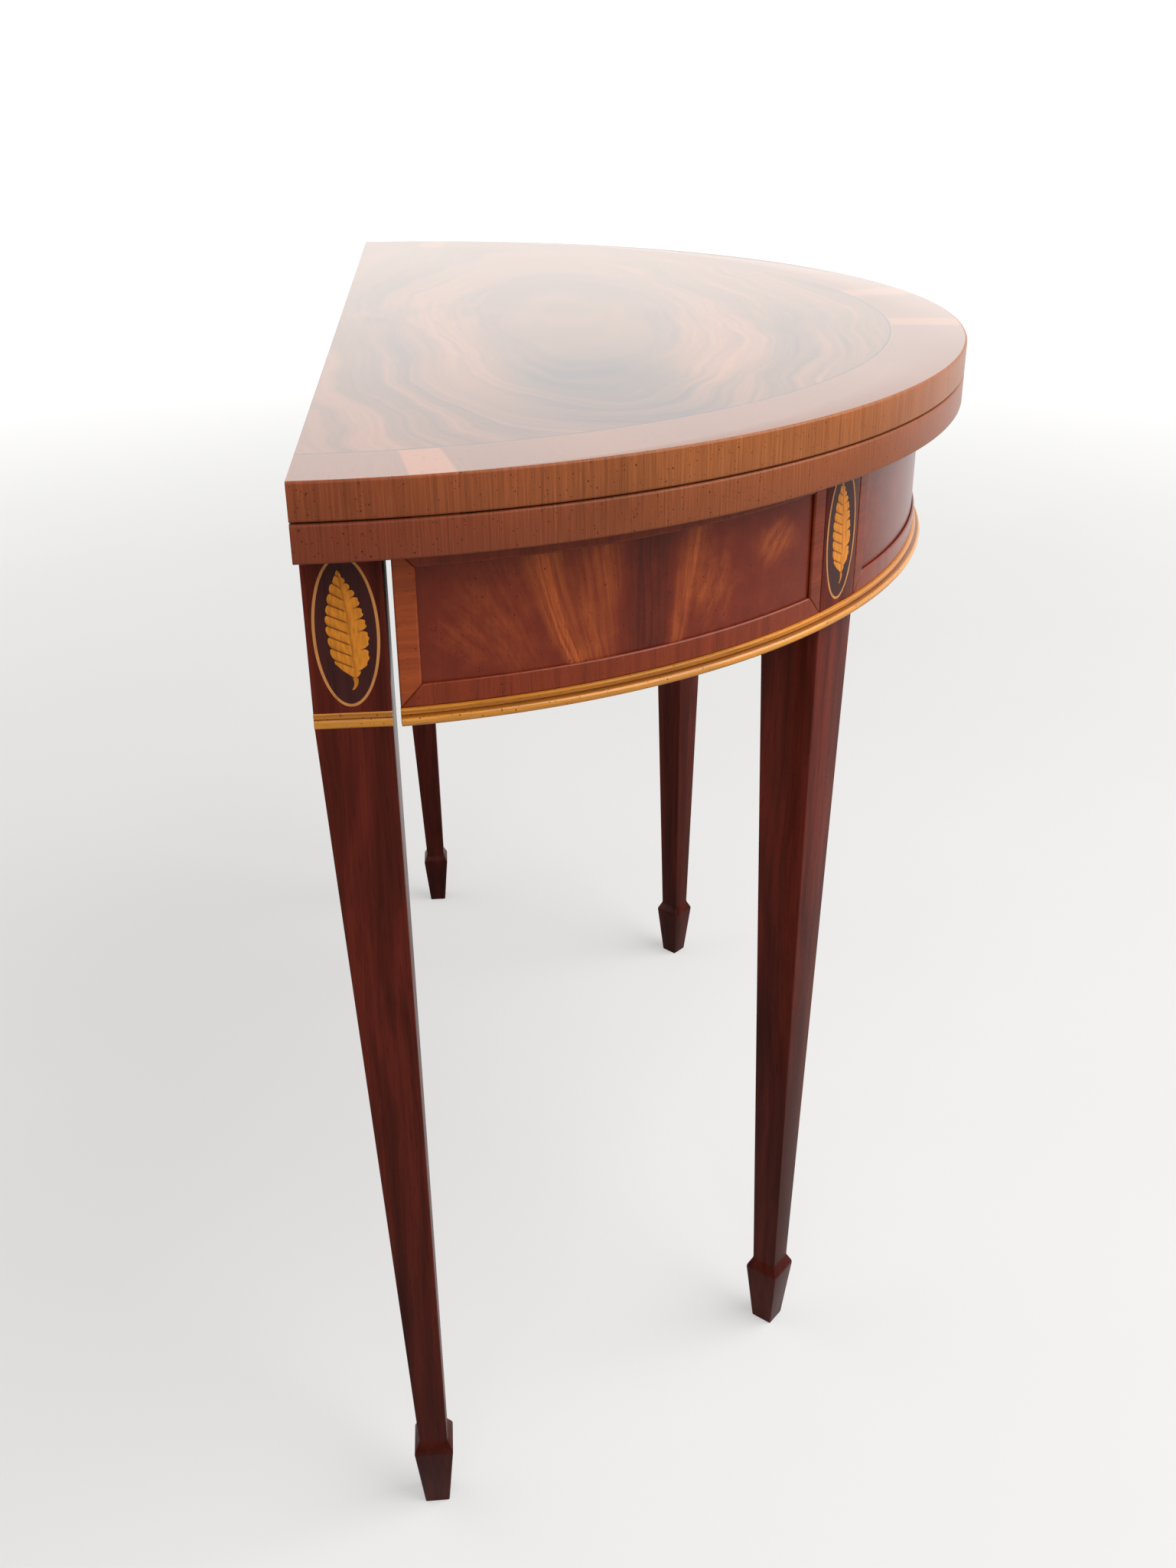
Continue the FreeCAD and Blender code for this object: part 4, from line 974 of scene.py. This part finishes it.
class GAMESTABLE_OT_mouldings(bpy.types.Operator):
    """Yellow moulding round the foot of the apron, and the bands that carry it on across the fly legs"""

    bl_idname = "games_table.mouldings"
    bl_label = "Moulding and bands"

    def execute(self, context):
        reach, height = bead_outline(
            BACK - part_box("apron_moulding")[0].y, sizes().bead_radius, BORDER_RADIUS + FILLET_STAND, CORE_RADIUS,
            APRON_FOOT, MOULDING_TOP, MOULDING_QUIRK, MOULDING_ARRIS).T
        end = -end_plane(BORDER_RADIUS, END_DEPTH)
        points, faces = arc_sweep(reach, height, -end, end, MOULDING_STEPS)
        make_piece("apron_moulding_run", points, faces, [wood("satinwood_moulding")], "table_frame",
                   "apron_moulding")
        for side, sign in (("left", -1), ("right", 1)):
            low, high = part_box(f"rear_{side}_band")
            face = max(abs(low.x), abs(high.x))
            reach, height = bead_outline(face, BAND_SWELL, face - BAND_FILLET, face - abs(high.x - low.x),
                                         low.z, high.z, BAND_QUIRK, BAND_ARRIS).T
            ends = np.array([[low.y], [high.y]])
            points = np.stack(np.broadcast_arrays(sign * reach, ends, height), axis=-1)
            make_piece(f"rear_{side}_yellow_band", points, tube_faces(2, len(reach)), [wood("satinwood_band")],
                       f"{side}_fly_leg", f"rear_{side}_band")
        return {"FINISHED"}


FERN_FINGERS = 9.6
FERN_LOBES = np.array([0, 0.065, 0.255, 0.42, 0.53, 0.635, 0.73, 0.8, 0.87, 0.93, 1.001])
# Height of the oval that the leaf figure is drawn for, and the figure's length, foot and reach to both sides
FERN_OVAL, FERN_LENGTH, FERN_FOOT = 0.084, 0.060, -0.0262
FERN_LEFT, FERN_RIGHT = 0.0126, 0.0097
FERN_ROWS, FERN_COLUMNS = 481, 13
FERN_CROWN = 0.00010
RIB_BURN, RIB_WIDTH = 0.42, 0.0005
# Shares of the figure's length that a tooth and a notch between lobes take, and the depth of a tooth
TOOTH_SHARE, NOTCH_SHARE, TOOTH_DEPTH = 0.06, 0.012, 0.035
STEM_ROWS, STEM_COLUMNS = 25, 5
STEM_PLACE, STEM_BOW, STEM_HOOK = 0.0030, 0.0006, 0.0016
STEM_HALF, STEM_TAPER = 0.0014, 0.55
STEM_TOP, STEM_DROP = -0.0258, 0.0066
STEM_BURN = 0.25
OVAL_STEPS, PLATE_RINGS = 128, 7


def fern_outline():
    """Half widths of the leaf figure along its midrib, and the shares of a vein, a notch and a shaded side.

    The left half is a row of slanting fingers, the right half a row of uneven toothed lobes; both follow a
    pointed leaf's envelope. For the fraction f within a finger its end is sqrt(1 - (2 f - 1)^2), and within a
    lobe sqrt(1 - |2 f - 1|^2.6) with small teeth on it.
    """
    share = np.linspace(0, 1, FERN_ROWS)
    envelope_left = np.interp(
        share, [0, 0.02, 0.06, 0.12, 0.2, 0.3, 0.39, 0.5, 0.57, 0.66, 0.75, 0.8, 0.87, 0.94, 1],
        [0.02, 0.5, 0.78, 0.9, 0.96, 0.99, 1, 0.94, 0.86, 0.75, 0.57, 0.48, 0.29, 0.15, 0.02])
    envelope_right = np.interp(
        share, [0, 0.02, 0.06, 0.1, 0.16, 0.26, 0.36, 0.46, 0.56, 0.7, 0.79, 0.83, 0.89, 0.95, 1],
        [0.02, 0.2, 0.4, 0.74, 0.88, 0.94, 1, 0.96, 0.88, 0.74, 0.54, 0.42, 0.26, 0.12, 0.02])
    finger = np.mod(share * FERN_FINGERS, 1.0)
    index = np.searchsorted(FERN_LOBES, share, side="right") - 1
    width = np.diff(FERN_LOBES)[index]
    lobe = (share - FERN_LOBES[index]) / width
    teeth = TOOTH_DEPTH * np.cos(2 * math.pi * lobe * np.maximum(1, np.round(width / TOOTH_SHARE)))
    left = envelope_left * (0.82 + 0.18 * np.sqrt(np.clip(1 - (2 * finger - 1) ** 2, 0, 1)))
    right = envelope_right * (0.60 + 0.36 * np.sqrt(np.clip(1 - np.abs(2 * lobe - 1) ** 2.6, 0, 1)) - teeth)
    vein = np.clip(1.05 - np.minimum(finger, 1 - finger) / 0.12, 0, 1)
    notch = np.clip(1 - np.minimum(lobe, 1 - lobe) * width / NOTCH_SHARE, 0, 1)
    shaded_side = np.clip(1 - finger / 0.4, 0, 1)
    return share, left, right, vein, notch, shaded_side


def fern_surface():
    """The leaf figure in the plane of the oval, as points (u, v), a lift above the ground and a burn share.

    Rows follow the midrib from the stem to the tip; columns run out along slanting veins on both sides.
    """
    share, left, right, vein, notch, shaded_side = (value[:, None] for value in fern_outline())
    scale = (OVAL_HIGH.z - OVAL_LOW.z) / FERN_OVAL
    rib_u = np.interp(share, [0, 0.3, 0.65, 1], [0.0030, 0.0025, 0.0009, -0.0019])
    out = np.concatenate([-np.linspace(1, 0, FERN_COLUMNS), np.linspace(0, 1, FERN_COLUMNS)[1:]])[None]
    far = np.abs(out)
    wide = np.where(out < 0, left * FERN_LEFT, right * FERN_RIGHT)
    slant = np.where(out < 0, np.interp(share, [0, 0.1, 0.6, 0.85, 1], [0.62, 0.48, 0.46, 0.75, 0.9]),
                     np.interp(share, [0, 0.6, 1], [0.2, 0.28, 0.6]))
    u = rib_u + np.sign(out) * far * wide
    v = (FERN_FOOT + share * FERN_LENGTH) * scale + far * wide * slant
    lift = (1 - far ** 3) * FERN_CROWN * (1 - 0.6 * vein)
    line = np.where(out < 0, np.maximum(vein * np.clip(far * 6, 0, 1), 0.45 * shaded_side * far),
                    0.8 * notch * np.clip(far * 2.2 - 1.1, 0, 1))
    rib = RIB_BURN * np.exp(-((far * wide) / RIB_WIDTH) ** 2)
    return np.stack([u, v], axis=-1), lift, np.clip(np.maximum(line, rib), 0, 1)


def stem_surface():
    """The short curved stem under the leaf figure: a tapering ribbon along a hooked line.

    For the share s of its drop, its middle is place + bow sin(pi s) - hook s^2 and its half width
    half (1 - taper s).
    """
    share = np.linspace(0, 1, STEM_ROWS)[:, None]
    side = np.linspace(-1, 1, STEM_COLUMNS)
    middle = STEM_PLACE + STEM_BOW * np.sin(share * math.pi) - STEM_HOOK * share ** 2
    half = STEM_HALF * (1 - STEM_TAPER * share)
    v = (STEM_TOP - STEM_DROP * share) * (OVAL_HIGH.z - OVAL_LOW.z) / FERN_OVAL
    return np.stack(np.broadcast_arrays(middle + side * half, v), axis=-1)


def oval_place(leg):
    """A function that sets points of the oval's plane on a leg: origin + u across + v up + lift outward."""
    sign = -1.0 if leg.endswith("left") else 1.0
    middle = (OVAL_LOW.z + OVAL_HIGH.z) / 2
    if leg.startswith("rear"):
        face = max(abs(corner.x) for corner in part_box(f"{leg}_string_inlay"))
        outward = np.array([sign, 0.0, 0.0])
        origin = np.array([sign * face, (OVAL_LOW.y + OVAL_HIGH.y) / 2, middle])
    else:
        outward = np.array([sign * math.sin(FRONT_LEG_ANGLE), -math.cos(FRONT_LEG_ANGLE), 0.0])
        origin = np.array([0.0, BACK, middle]) + outward * (BORDER_RADIUS - sizes().leg_setback)
    across = sign * np.array([outward[1], -outward[0], 0.0])
    up = np.array([0.0, 0.0, 1.0])

    def place(flat, lift):
        """Points (u, v) at a lift above the face of the leg."""
        lift = np.broadcast_to(lift, flat.shape[:-1])[..., None]
        return origin + flat[..., :1] * across + flat[..., 1:] * up + lift * outward

    return place


def slab(grid, lift, depth, place):
    """A thin closed slab: the grid's points at their lift, the same points at a depth, and the rim between."""
    rows, columns = grid.shape[:2]
    total = rows * columns
    quads = grid_quads(rows, columns)
    index = np.arange(total).reshape(rows, columns)
    rim = np.concatenate([index[0], index[1:, -1], index[-1, -2::-1], index[-2:0:-1, 0]])
    follow = np.roll(rim, -1)
    walls = np.stack([rim, follow, follow + total, rim + total], axis=-1)
    faces = np.concatenate([quads, quads[:, ::-1] + total, walls])
    return np.concatenate([place(grid, lift), place(grid, -depth)]).reshape(-1, 3), faces.tolist()


def ellipse(half):
    """Points of an ellipse with a half width and a half height."""
    return arc_points((0, 0), half, 0, 2 * math.pi, OVAL_STEPS + 1)[:-1]


def ring_slab(outer, inner, lift, depth, place):
    """A closed ring whose section runs up its inner wall, over its face and down its outer wall."""
    section = ((inner, -depth), (inner, lift), (outer, lift), (outer, -depth))
    points = np.stack([place(edge, level) for edge, level in section], axis=1)
    return points, grid_quads(*points.shape[:2], wrap=True, ring=True)


def oval_plate(edge, lift, depth, place):
    """A closed oval plate: rings from its middle out to its edge, then the wall down to its underside."""
    share = np.append(np.linspace(0, 1, PLATE_RINGS), 1.0)[:, None, None]
    level = np.append(np.full(PLATE_RINGS, lift), -depth)[:, None]
    points = place(share * edge, level)
    rows, count = points.shape[:2]
    return points, [*grid_quads(rows, count, wrap=True), range((rows - 1) * count, rows * count)]


class GAMESTABLE_OT_inlays(bpy.types.Operator):
    """Oval inlays on the heads of the legs: string ring, dark ground and satinwood leaf figure"""

    bl_idname = "games_table.inlays"
    bl_label = "Oval inlays"

    def execute(self, context):
        settings = sizes()
        stand, depth = settings.inlay_stand, settings.inlay_depth
        half = np.array([OVAL_HIGH.y - OVAL_LOW.y, OVAL_HIGH.z - OVAL_LOW.z]) / 2
        outer, inner = ellipse(half), ellipse(half - settings.string_ring)
        leaf_flat, leaf_lift, burn = fern_surface()
        stem_flat = stem_surface()
        for leg in LEGS:
            body, place = leg_body(leg), oval_place(leg)
            points, faces = ring_slab(outer, inner, stand, depth, place)
            make_piece(f"{leg}_string_ring", points, faces, [wood("oval_string")], body, f"{leg}_string_inlay")
            points, faces = oval_plate(inner, stand / 3, depth, place)
            make_piece(f"{leg}_oval_plate", points, faces, [wood("oval_dark_ground")], body, f"{leg}_oval_ground")
            leaf = slab(leaf_flat, leaf_lift + stand, depth / 2, place)
            stem = slab(stem_flat, stand * 1.2, depth / 2, place)
            points, faces = merged([leaf, stem])
            shade = np.concatenate([burn.ravel(), burn.ravel(), np.full(len(stem[0]), STEM_BURN)])
            make_piece(f"{leg}_leaf_figure", points, faces, [once("satinwood_leaf_figure", fern_wood)], body,
                       f"{leg}_fern_inlay", burn=shade)
        return {"FINISHED"}


SOLE_EASE = 0.0008
BREAK_EASE = 1.3
TAPER_FOOT, TAPER_HEAD, TAPER_ROWS = 0.08, 0.01, 25
CORNER_STEPS = 5


def leg_surface(block, ankle, top):
    """A leg as rounded squares stacked along its height: spade foot, sloping ledge, taper and head block.

    Each row is a square given by its low corner and side, with quarter circles at its corners. Rows follow the
    straight outline between the breaks, averaged over a short height so that each break is eased.
    """
    settings = sizes()
    arris = settings.leg_arris

    def centred(side):
        """A square of another side about the middle of the ankle."""
        shift = (settings.ankle - side) / 2
        return ankle[0] + shift, ankle[1] + shift, side

    breaks = np.array([0.0, settings.spade_rise, settings.spade_rise + settings.spade_ledge, APRON_FOOT, top])
    squares = np.array([centred(settings.foot_width), centred(settings.spade_width), (*ankle, settings.ankle),
                        (*block, BLOCK), (*block, BLOCK)])
    near_breaks = breaks[1:-1, None] + np.linspace(-2, 2, 9) * arris
    height = np.sort(np.concatenate([[0.0, SOLE_EASE / 2, SOLE_EASE, top], near_breaks.ravel(),
                                     np.linspace(TAPER_FOOT, APRON_FOOT - TAPER_HEAD, TAPER_ROWS)]))
    reach = np.minimum(BREAK_EASE * arris, np.minimum(height, top - height))
    around = height + np.linspace(-1, 1, 5)[:, None] * reach
    low_x, low_y, side = (np.mean(np.interp(around, breaks, column), axis=0) for column in squares.T)
    ease = np.clip(SOLE_EASE - height, 0, None) ** 2 / (2 * SOLE_EASE)
    low_x, low_y, side = (value[:, None] for value in (low_x + ease, low_y + ease, side - 2 * ease))
    turn = (np.linspace(0, QUARTER_TURN, CORNER_STEPS) + QUARTER_TURN * np.arange(4)[:, None]).ravel()
    high_x, high_y = (np.repeat(corners, CORNER_STEPS) for corners in ([1, 0, 0, 1], [1, 1, 0, 0]))
    flat = side - 2 * arris
    x = low_x + arris + high_x * flat + arris * np.cos(turn)
    y = low_y + arris + high_y * flat + arris * np.sin(turn)
    points = np.stack(np.broadcast_arrays(x, y, height[:, None]), axis=-1)
    return points, tube_faces(len(height), len(turn))


class GAMESTABLE_OT_legs(bpy.types.Operator):
    """Four tapered legs with spade feet and eased corners; the rear pair are the fly legs"""

    bl_idname = "games_table.legs"
    bl_label = "Legs"

    def execute(self, context):
        settings = sizes()
        outer = BORDER_RADIUS - settings.leg_setback
        angle = 1.5 * math.pi - FRONT_LEG_ANGLE
        for leg in LEGS:
            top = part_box(f"{leg}_leg")[1].z
            if leg.startswith("rear"):
                corner = (-BORDER_RADIUS, BACK - BLOCK)
                points, faces = leg_surface(corner, (corner[0], corner[1] - settings.fly_splay), top)
            else:
                ankle = (outer - settings.face_taper - settings.ankle, settings.side_taper - BLOCK / 2)
                local, faces = leg_surface((outer - BLOCK, -BLOCK / 2), ankle, top)
                x, y, z = np.moveaxis(local, -1, 0)
                points = np.stack([x * math.cos(angle) - y * math.sin(angle),
                                   BACK + x * math.sin(angle) + y * math.cos(angle), z], axis=-1)
            if leg.endswith("right"):
                points = points * np.array([-1.0, 1.0, 1.0])
            make_piece(f"{leg}_tapered_leg", points, faces, [wood("tapered_leg_wood")], leg_body(leg), f"{leg}_leg")
        return {"FINISHED"}


class GAMESTABLE_OT_inner_frame(bpy.types.Operator):
    """Finish of the rails, brace, glue blocks and fly rails inside the frame"""

    bl_idname = "games_table.inner_frame"
    bl_label = "Inner frame"

    def execute(self, context):
        dress(wood("frame_wood"), "inner_back_rail", "hinge_rail", "medial_brace", "glue_blocks",
              "fly_rail_left", "fly_rail_right")
        return {"FINISHED"}


SCREW_STEPS, HEAD_STEPS = 32, 20
FIRST_TURN, NEXT_TURN = 0.4, 2.1
# Radius of the shank, depth of the countersink, and width and depth of the slot
HINGE_SCREW = (0.0015, 0.0017, 0.0008)
RAIL_SCREW = (0.00225, 0.003, 0.0012)


def slotted_screw(centre, head, shank, rise, length, slot, turn):
    """A countersunk screw driven along -Y: a turned body, and the two halves of its head beside the slot.

    The body is (r cos t, -d, r sin t) for a profile of radii r at depths d. Each half is the part of the
    head's circle beyond the slot, carried down the cone to just below the slot's floor.
    """

    def shell(radius, angle, depth, caps):
        """Loops of points at radii, angles and depths, with their faces and caps."""
        radius, angle, depth = np.broadcast_arrays(radius[:, None], angle, depth[:, None])
        points = np.stack([radius * np.cos(angle), -depth, radius * np.sin(angle)], axis=-1) + centre
        return points, [*grid_quads(*radius.shape, wrap=True), *caps]

    floor = head - (head - shank) * slot / rise
    radius, depth = np.array([(0, slot), (floor, slot), (shank, rise), (shank, length - 2 * shank), (0, length)]).T
    shells = [shell(radius, np.linspace(0, 2 * math.pi, SCREW_STEPS, endpoint=False), depth, [])]
    depth = np.array([0, 1.2 * slot])
    radius = head - (head - shank) * depth / rise
    edge = np.arcsin(slot / 2 / radius)[:, None]
    caps = np.arange(2 * HEAD_STEPS).reshape(2, HEAD_STEPS)
    for side in (0, math.pi):
        angle = side + turn + edge + (math.pi - 2 * edge) * np.linspace(0, 1, HEAD_STEPS)
        shells.append(shell(radius, angle, depth, caps))
    return merged(shells)


def slotted_screws(node, material, body, slot_name, shank, rise, slot):
    """Slotted screws in place of a node of plain ones, each centred on the circle of its head."""
    low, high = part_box(node)
    points = np.array([vertex.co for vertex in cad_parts[node].data.vertices])
    rims = points[points[:, 1] > high[1] - MERGE_DISTANCE]
    rims = rims[np.argsort(rims[:, 0])]
    rims = np.split(rims, np.flatnonzero(np.diff(rims[:, 0]) > 2 * rise) + 1)
    points, faces = merged(
        slotted_screw((rim.min(axis=0) + rim.max(axis=0)) / 2, np.ptp(rim[:, 0]) / 2, shank, rise, high[1] - low[1],
                      slot, FIRST_TURN + NEXT_TURN * number)
        for number, rim in enumerate(rims))
    make_piece(f"{node}_slotted", points, faces, [material], body, node)


class GAMESTABLE_OT_hardware(bpy.types.Operator):
    """Brass hinges, steel pins, and the slotted screws of the hinges and the hinge rail"""

    bl_idname = "games_table.hardware"
    bl_label = "Hinges, pins and screws"

    def execute(self, context):
        yellow, grey = once("hinge_brass", brass), once("frame_steel", steel)
        dress(yellow, *(f"{side}_hinge_{kind}" for side in ("left", "right")
                        for kind in ("fixed_plate", "moving_plate", "pin")))
        dress(grey, "top_screws", "knuckle_pin_left", "knuckle_pin_right")
        slotted_screws("fixed_hinge_screws", yellow, "table_frame", "brass", *HINGE_SCREW)
        slotted_screws("moving_hinge_screws", yellow, "upper_leaf", "brass", *HINGE_SCREW)
        slotted_screws("hinge_rail_screws", grey, "table_frame", "steel", *RAIL_SCREW)
        return {"FINISHED"}


FLOOR_REACH, FLOOR_LINES = 9, 19
WARM_LIGHT = (1.0, 0.95, 0.91, 1)
# Place, target, side and power setting of each lamp
LAMPS = {"soft_key": ((-0.7, -1.9, 2.6), (0, 0, 0.65), 3.0, "key"),
         "soft_fill": ((-2.4, 0.4, 2.2), (-0.2, 0, 0.5), 1.5, "fill"),
         "soft_back": ((0.7, 2.6, 1.5), (0, 0.2, 0.5), 3.0, "back")}
SENSOR_WIDTH = 36


def ray_kinds(nodes):
    """Masks for rays from the camera, and for rays that a glossy or clear surface sends on."""
    ray = nodes.named(nodes.add("LightPath"))
    return ray["Is Camera Ray"], nodes.math("MAXIMUM", ray["Is Glossy Ray"], ray["Is Transmission Ray"])


def make_floor(scene):
    """Pale floor that fades to white far out, glows as background for gloss, and is clear from below."""
    material = start_material("studio_floor")
    nodes = Nodes(material.node_tree)
    base = colours().floor
    place = nodes.place()
    x, y, z = nodes.split(place)
    colour = nodes.ramp(nodes.noise(place, 2.5), (0.3, shaded(base, 0.97)), (0.7, tuple(base)))
    seen, mirrored = ray_kinds(nodes)
    shown = nodes.math("MAXIMUM", seen, mirrored * nodes.span(x, 0.2, 1.4))
    glow = shown * nodes.span(nodes.length(x, y, z), 1.0, 5.0, 0.40, 0.95)
    shader = nodes.add("BsdfPrincipled", {"Base Color": colour, "Roughness": 0.8, "Specular IOR Level": 0.15,
                                          "Emission Color": WHITE, "Emission Strength": glow})
    below = seen * nodes.named(nodes.add("NewGeometry"))["Backfacing"]
    clear = nodes.add("BsdfTransparent").outputs[0]
    mixed = nodes.add("MixShader", {0: below, 1: shader.outputs[0], 2: clear})
    nodes.add("OutputMaterial", {0: mixed.outputs[0]})
    span = np.linspace(-FLOOR_REACH, FLOOR_REACH, FLOOR_LINES)
    x, y = np.meshgrid(span, span)
    mesh = bpy.data.meshes.new("floor")
    mesh.from_pydata(np.stack([x, y, np.zeros_like(x)], axis=-1).reshape(-1, 3).tolist(), [],
                     grid_quads(FLOOR_LINES, FLOOR_LINES)[:, ::-1].tolist())
    mesh.materials.append(material)
    floor = bpy.data.objects.new("floor", mesh)
    scene.collection.objects.link(floor)


def make_surround(scene, settings):
    """White surround for the camera, even light, and for gloss a room that is dark on the near side."""
    world = bpy.data.worlds.new("surround")
    scene.world = world
    world.use_nodes = True
    world.node_tree.nodes.clear()
    nodes = Nodes(world.node_tree)
    seen, mirrored = ray_kinds(nodes)
    toward_wall, _, upward = nodes.split(nodes.named(nodes.add("TexCoord"))["Generated"])
    wall = nodes.span(toward_wall, -0.35, 0.45, settings.room, 1.0) * nodes.span(upward, 0.10, 0.24, 1.12, 1.0)
    strength = nodes.math("MAXIMUM", mirrored * (wall - settings.sky) + settings.sky, seen)
    tint = nodes.mix(seen, nodes.ramp(upward, (0.10, WARM_LIGHT), (0.24, WHITE)), WHITE)
    light = nodes.add("Background", {"Color": tint, "Strength": strength})
    nodes.add("OutputWorld", {0: light.outputs[0]})


def make_lamps(scene, settings):
    """Square soft lamps, each turned to its target."""
    for label, (eye, target, size, power) in LAMPS.items():
        lamp = bpy.data.lights.new(label, "AREA")
        lamp.shape = "SQUARE"
        lamp.size = size
        lamp.energy = getattr(settings, power)
        item = bpy.data.objects.new(label, lamp)
        item.location = eye
        item.rotation_euler = (Vector(target) - Vector(eye)).to_track_quat("-Z", "Y").to_euler()
        scene.collection.objects.link(item)


def make_camera(scene, settings):
    """Camera at the eye, turned by yaw and pitch and then about its own axis by roll."""
    yaw, pitch, roll = settings.yaw, settings.pitch, settings.roll
    ahead = Vector((math.cos(yaw) * math.cos(pitch), math.sin(yaw) * math.cos(pitch), -math.sin(pitch)))
    right = Vector((math.sin(yaw), -math.cos(yaw), 0))
    above = right.cross(ahead)
    side = math.cos(roll) * right + math.sin(roll) * above
    top = math.cos(roll) * above - math.sin(roll) * right
    lens = bpy.data.cameras.new("photo_camera")
    lens.lens = settings.lens
    lens.sensor_width = SENSOR_WIDTH
    lens.sensor_fit = "AUTO"
    camera = bpy.data.objects.new("photo_camera", lens)
    turn = Matrix((side, top, -ahead)).transposed().to_4x4()
    camera.matrix_world = Matrix.Translation(settings.eye) @ turn
    scene.collection.objects.link(camera)
    scene.camera = camera


class GAMESTABLE_OT_stage(bpy.types.Operator):
    """Pale floor, even white surround, three soft lights and the camera"""

    bl_idname = "games_table.stage"
    bl_label = "Stage"

    def execute(self, context):
        scene = context.scene
        settings = scene.games_table_stage
        scene.view_settings.view_transform = "Standard"
        make_floor(scene)
        make_surround(scene, settings)
        make_lamps(scene, settings)
        make_camera(scene, settings)
        return {"FINISHED"}


OPERATORS = (GAMESTABLE_OT_stage, GAMESTABLE_OT_leaves, GAMESTABLE_OT_aprons, GAMESTABLE_OT_borders,
             GAMESTABLE_OT_mouldings, GAMESTABLE_OT_inlays, GAMESTABLE_OT_legs, GAMESTABLE_OT_inner_frame,
             GAMESTABLE_OT_hardware)


class GAMESTABLE_PT_looks(bpy.types.Panel):
    """Buttons for the pieces of the games table, with their sizes and colours"""

    bl_idname = "GAMESTABLE_PT_looks"
    bl_label = "Games Table"
    bl_space_type = "VIEW_3D"
    bl_region_type = "UI"
    bl_category = "Games Table"

    def draw(self, context):
        for operator in OPERATORS:
            self.layout.operator(operator.bl_idname)
        for name in SETTINGS:
            settings = getattr(context.scene, name)
            box = self.layout.box()
            for label in settings.__annotations__:
                box.prop(settings, label)


SETTINGS = {"games_table_sizes": GamesTableSizes, "games_table_colours": GamesTableColours,
            "games_table_stage": GamesTableStage}
CLASSES = (*SETTINGS.values(), *OPERATORS, GAMESTABLE_PT_looks)


def register():
    """Register the classes, and give every scene its settings."""
    for item in CLASSES:
        bpy.utils.register_class(item)
    for name, kind in SETTINGS.items():
        setattr(bpy.types.Scene, name, bpy.props.PointerProperty(type=kind))


def unregister():
    """Take the settings and the classes away again."""
    for name in SETTINGS:
        delattr(bpy.types.Scene, name)
    for item in reversed(CLASSES):
        bpy.utils.unregister_class(item)


def main():
    """Register the classes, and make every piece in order."""
    register()
    for operator in OPERATORS:
        group, name = operator.bl_idname.split(".")
        getattr(getattr(bpy.ops, group), name)()


if __name__ == "__main__":
    main()
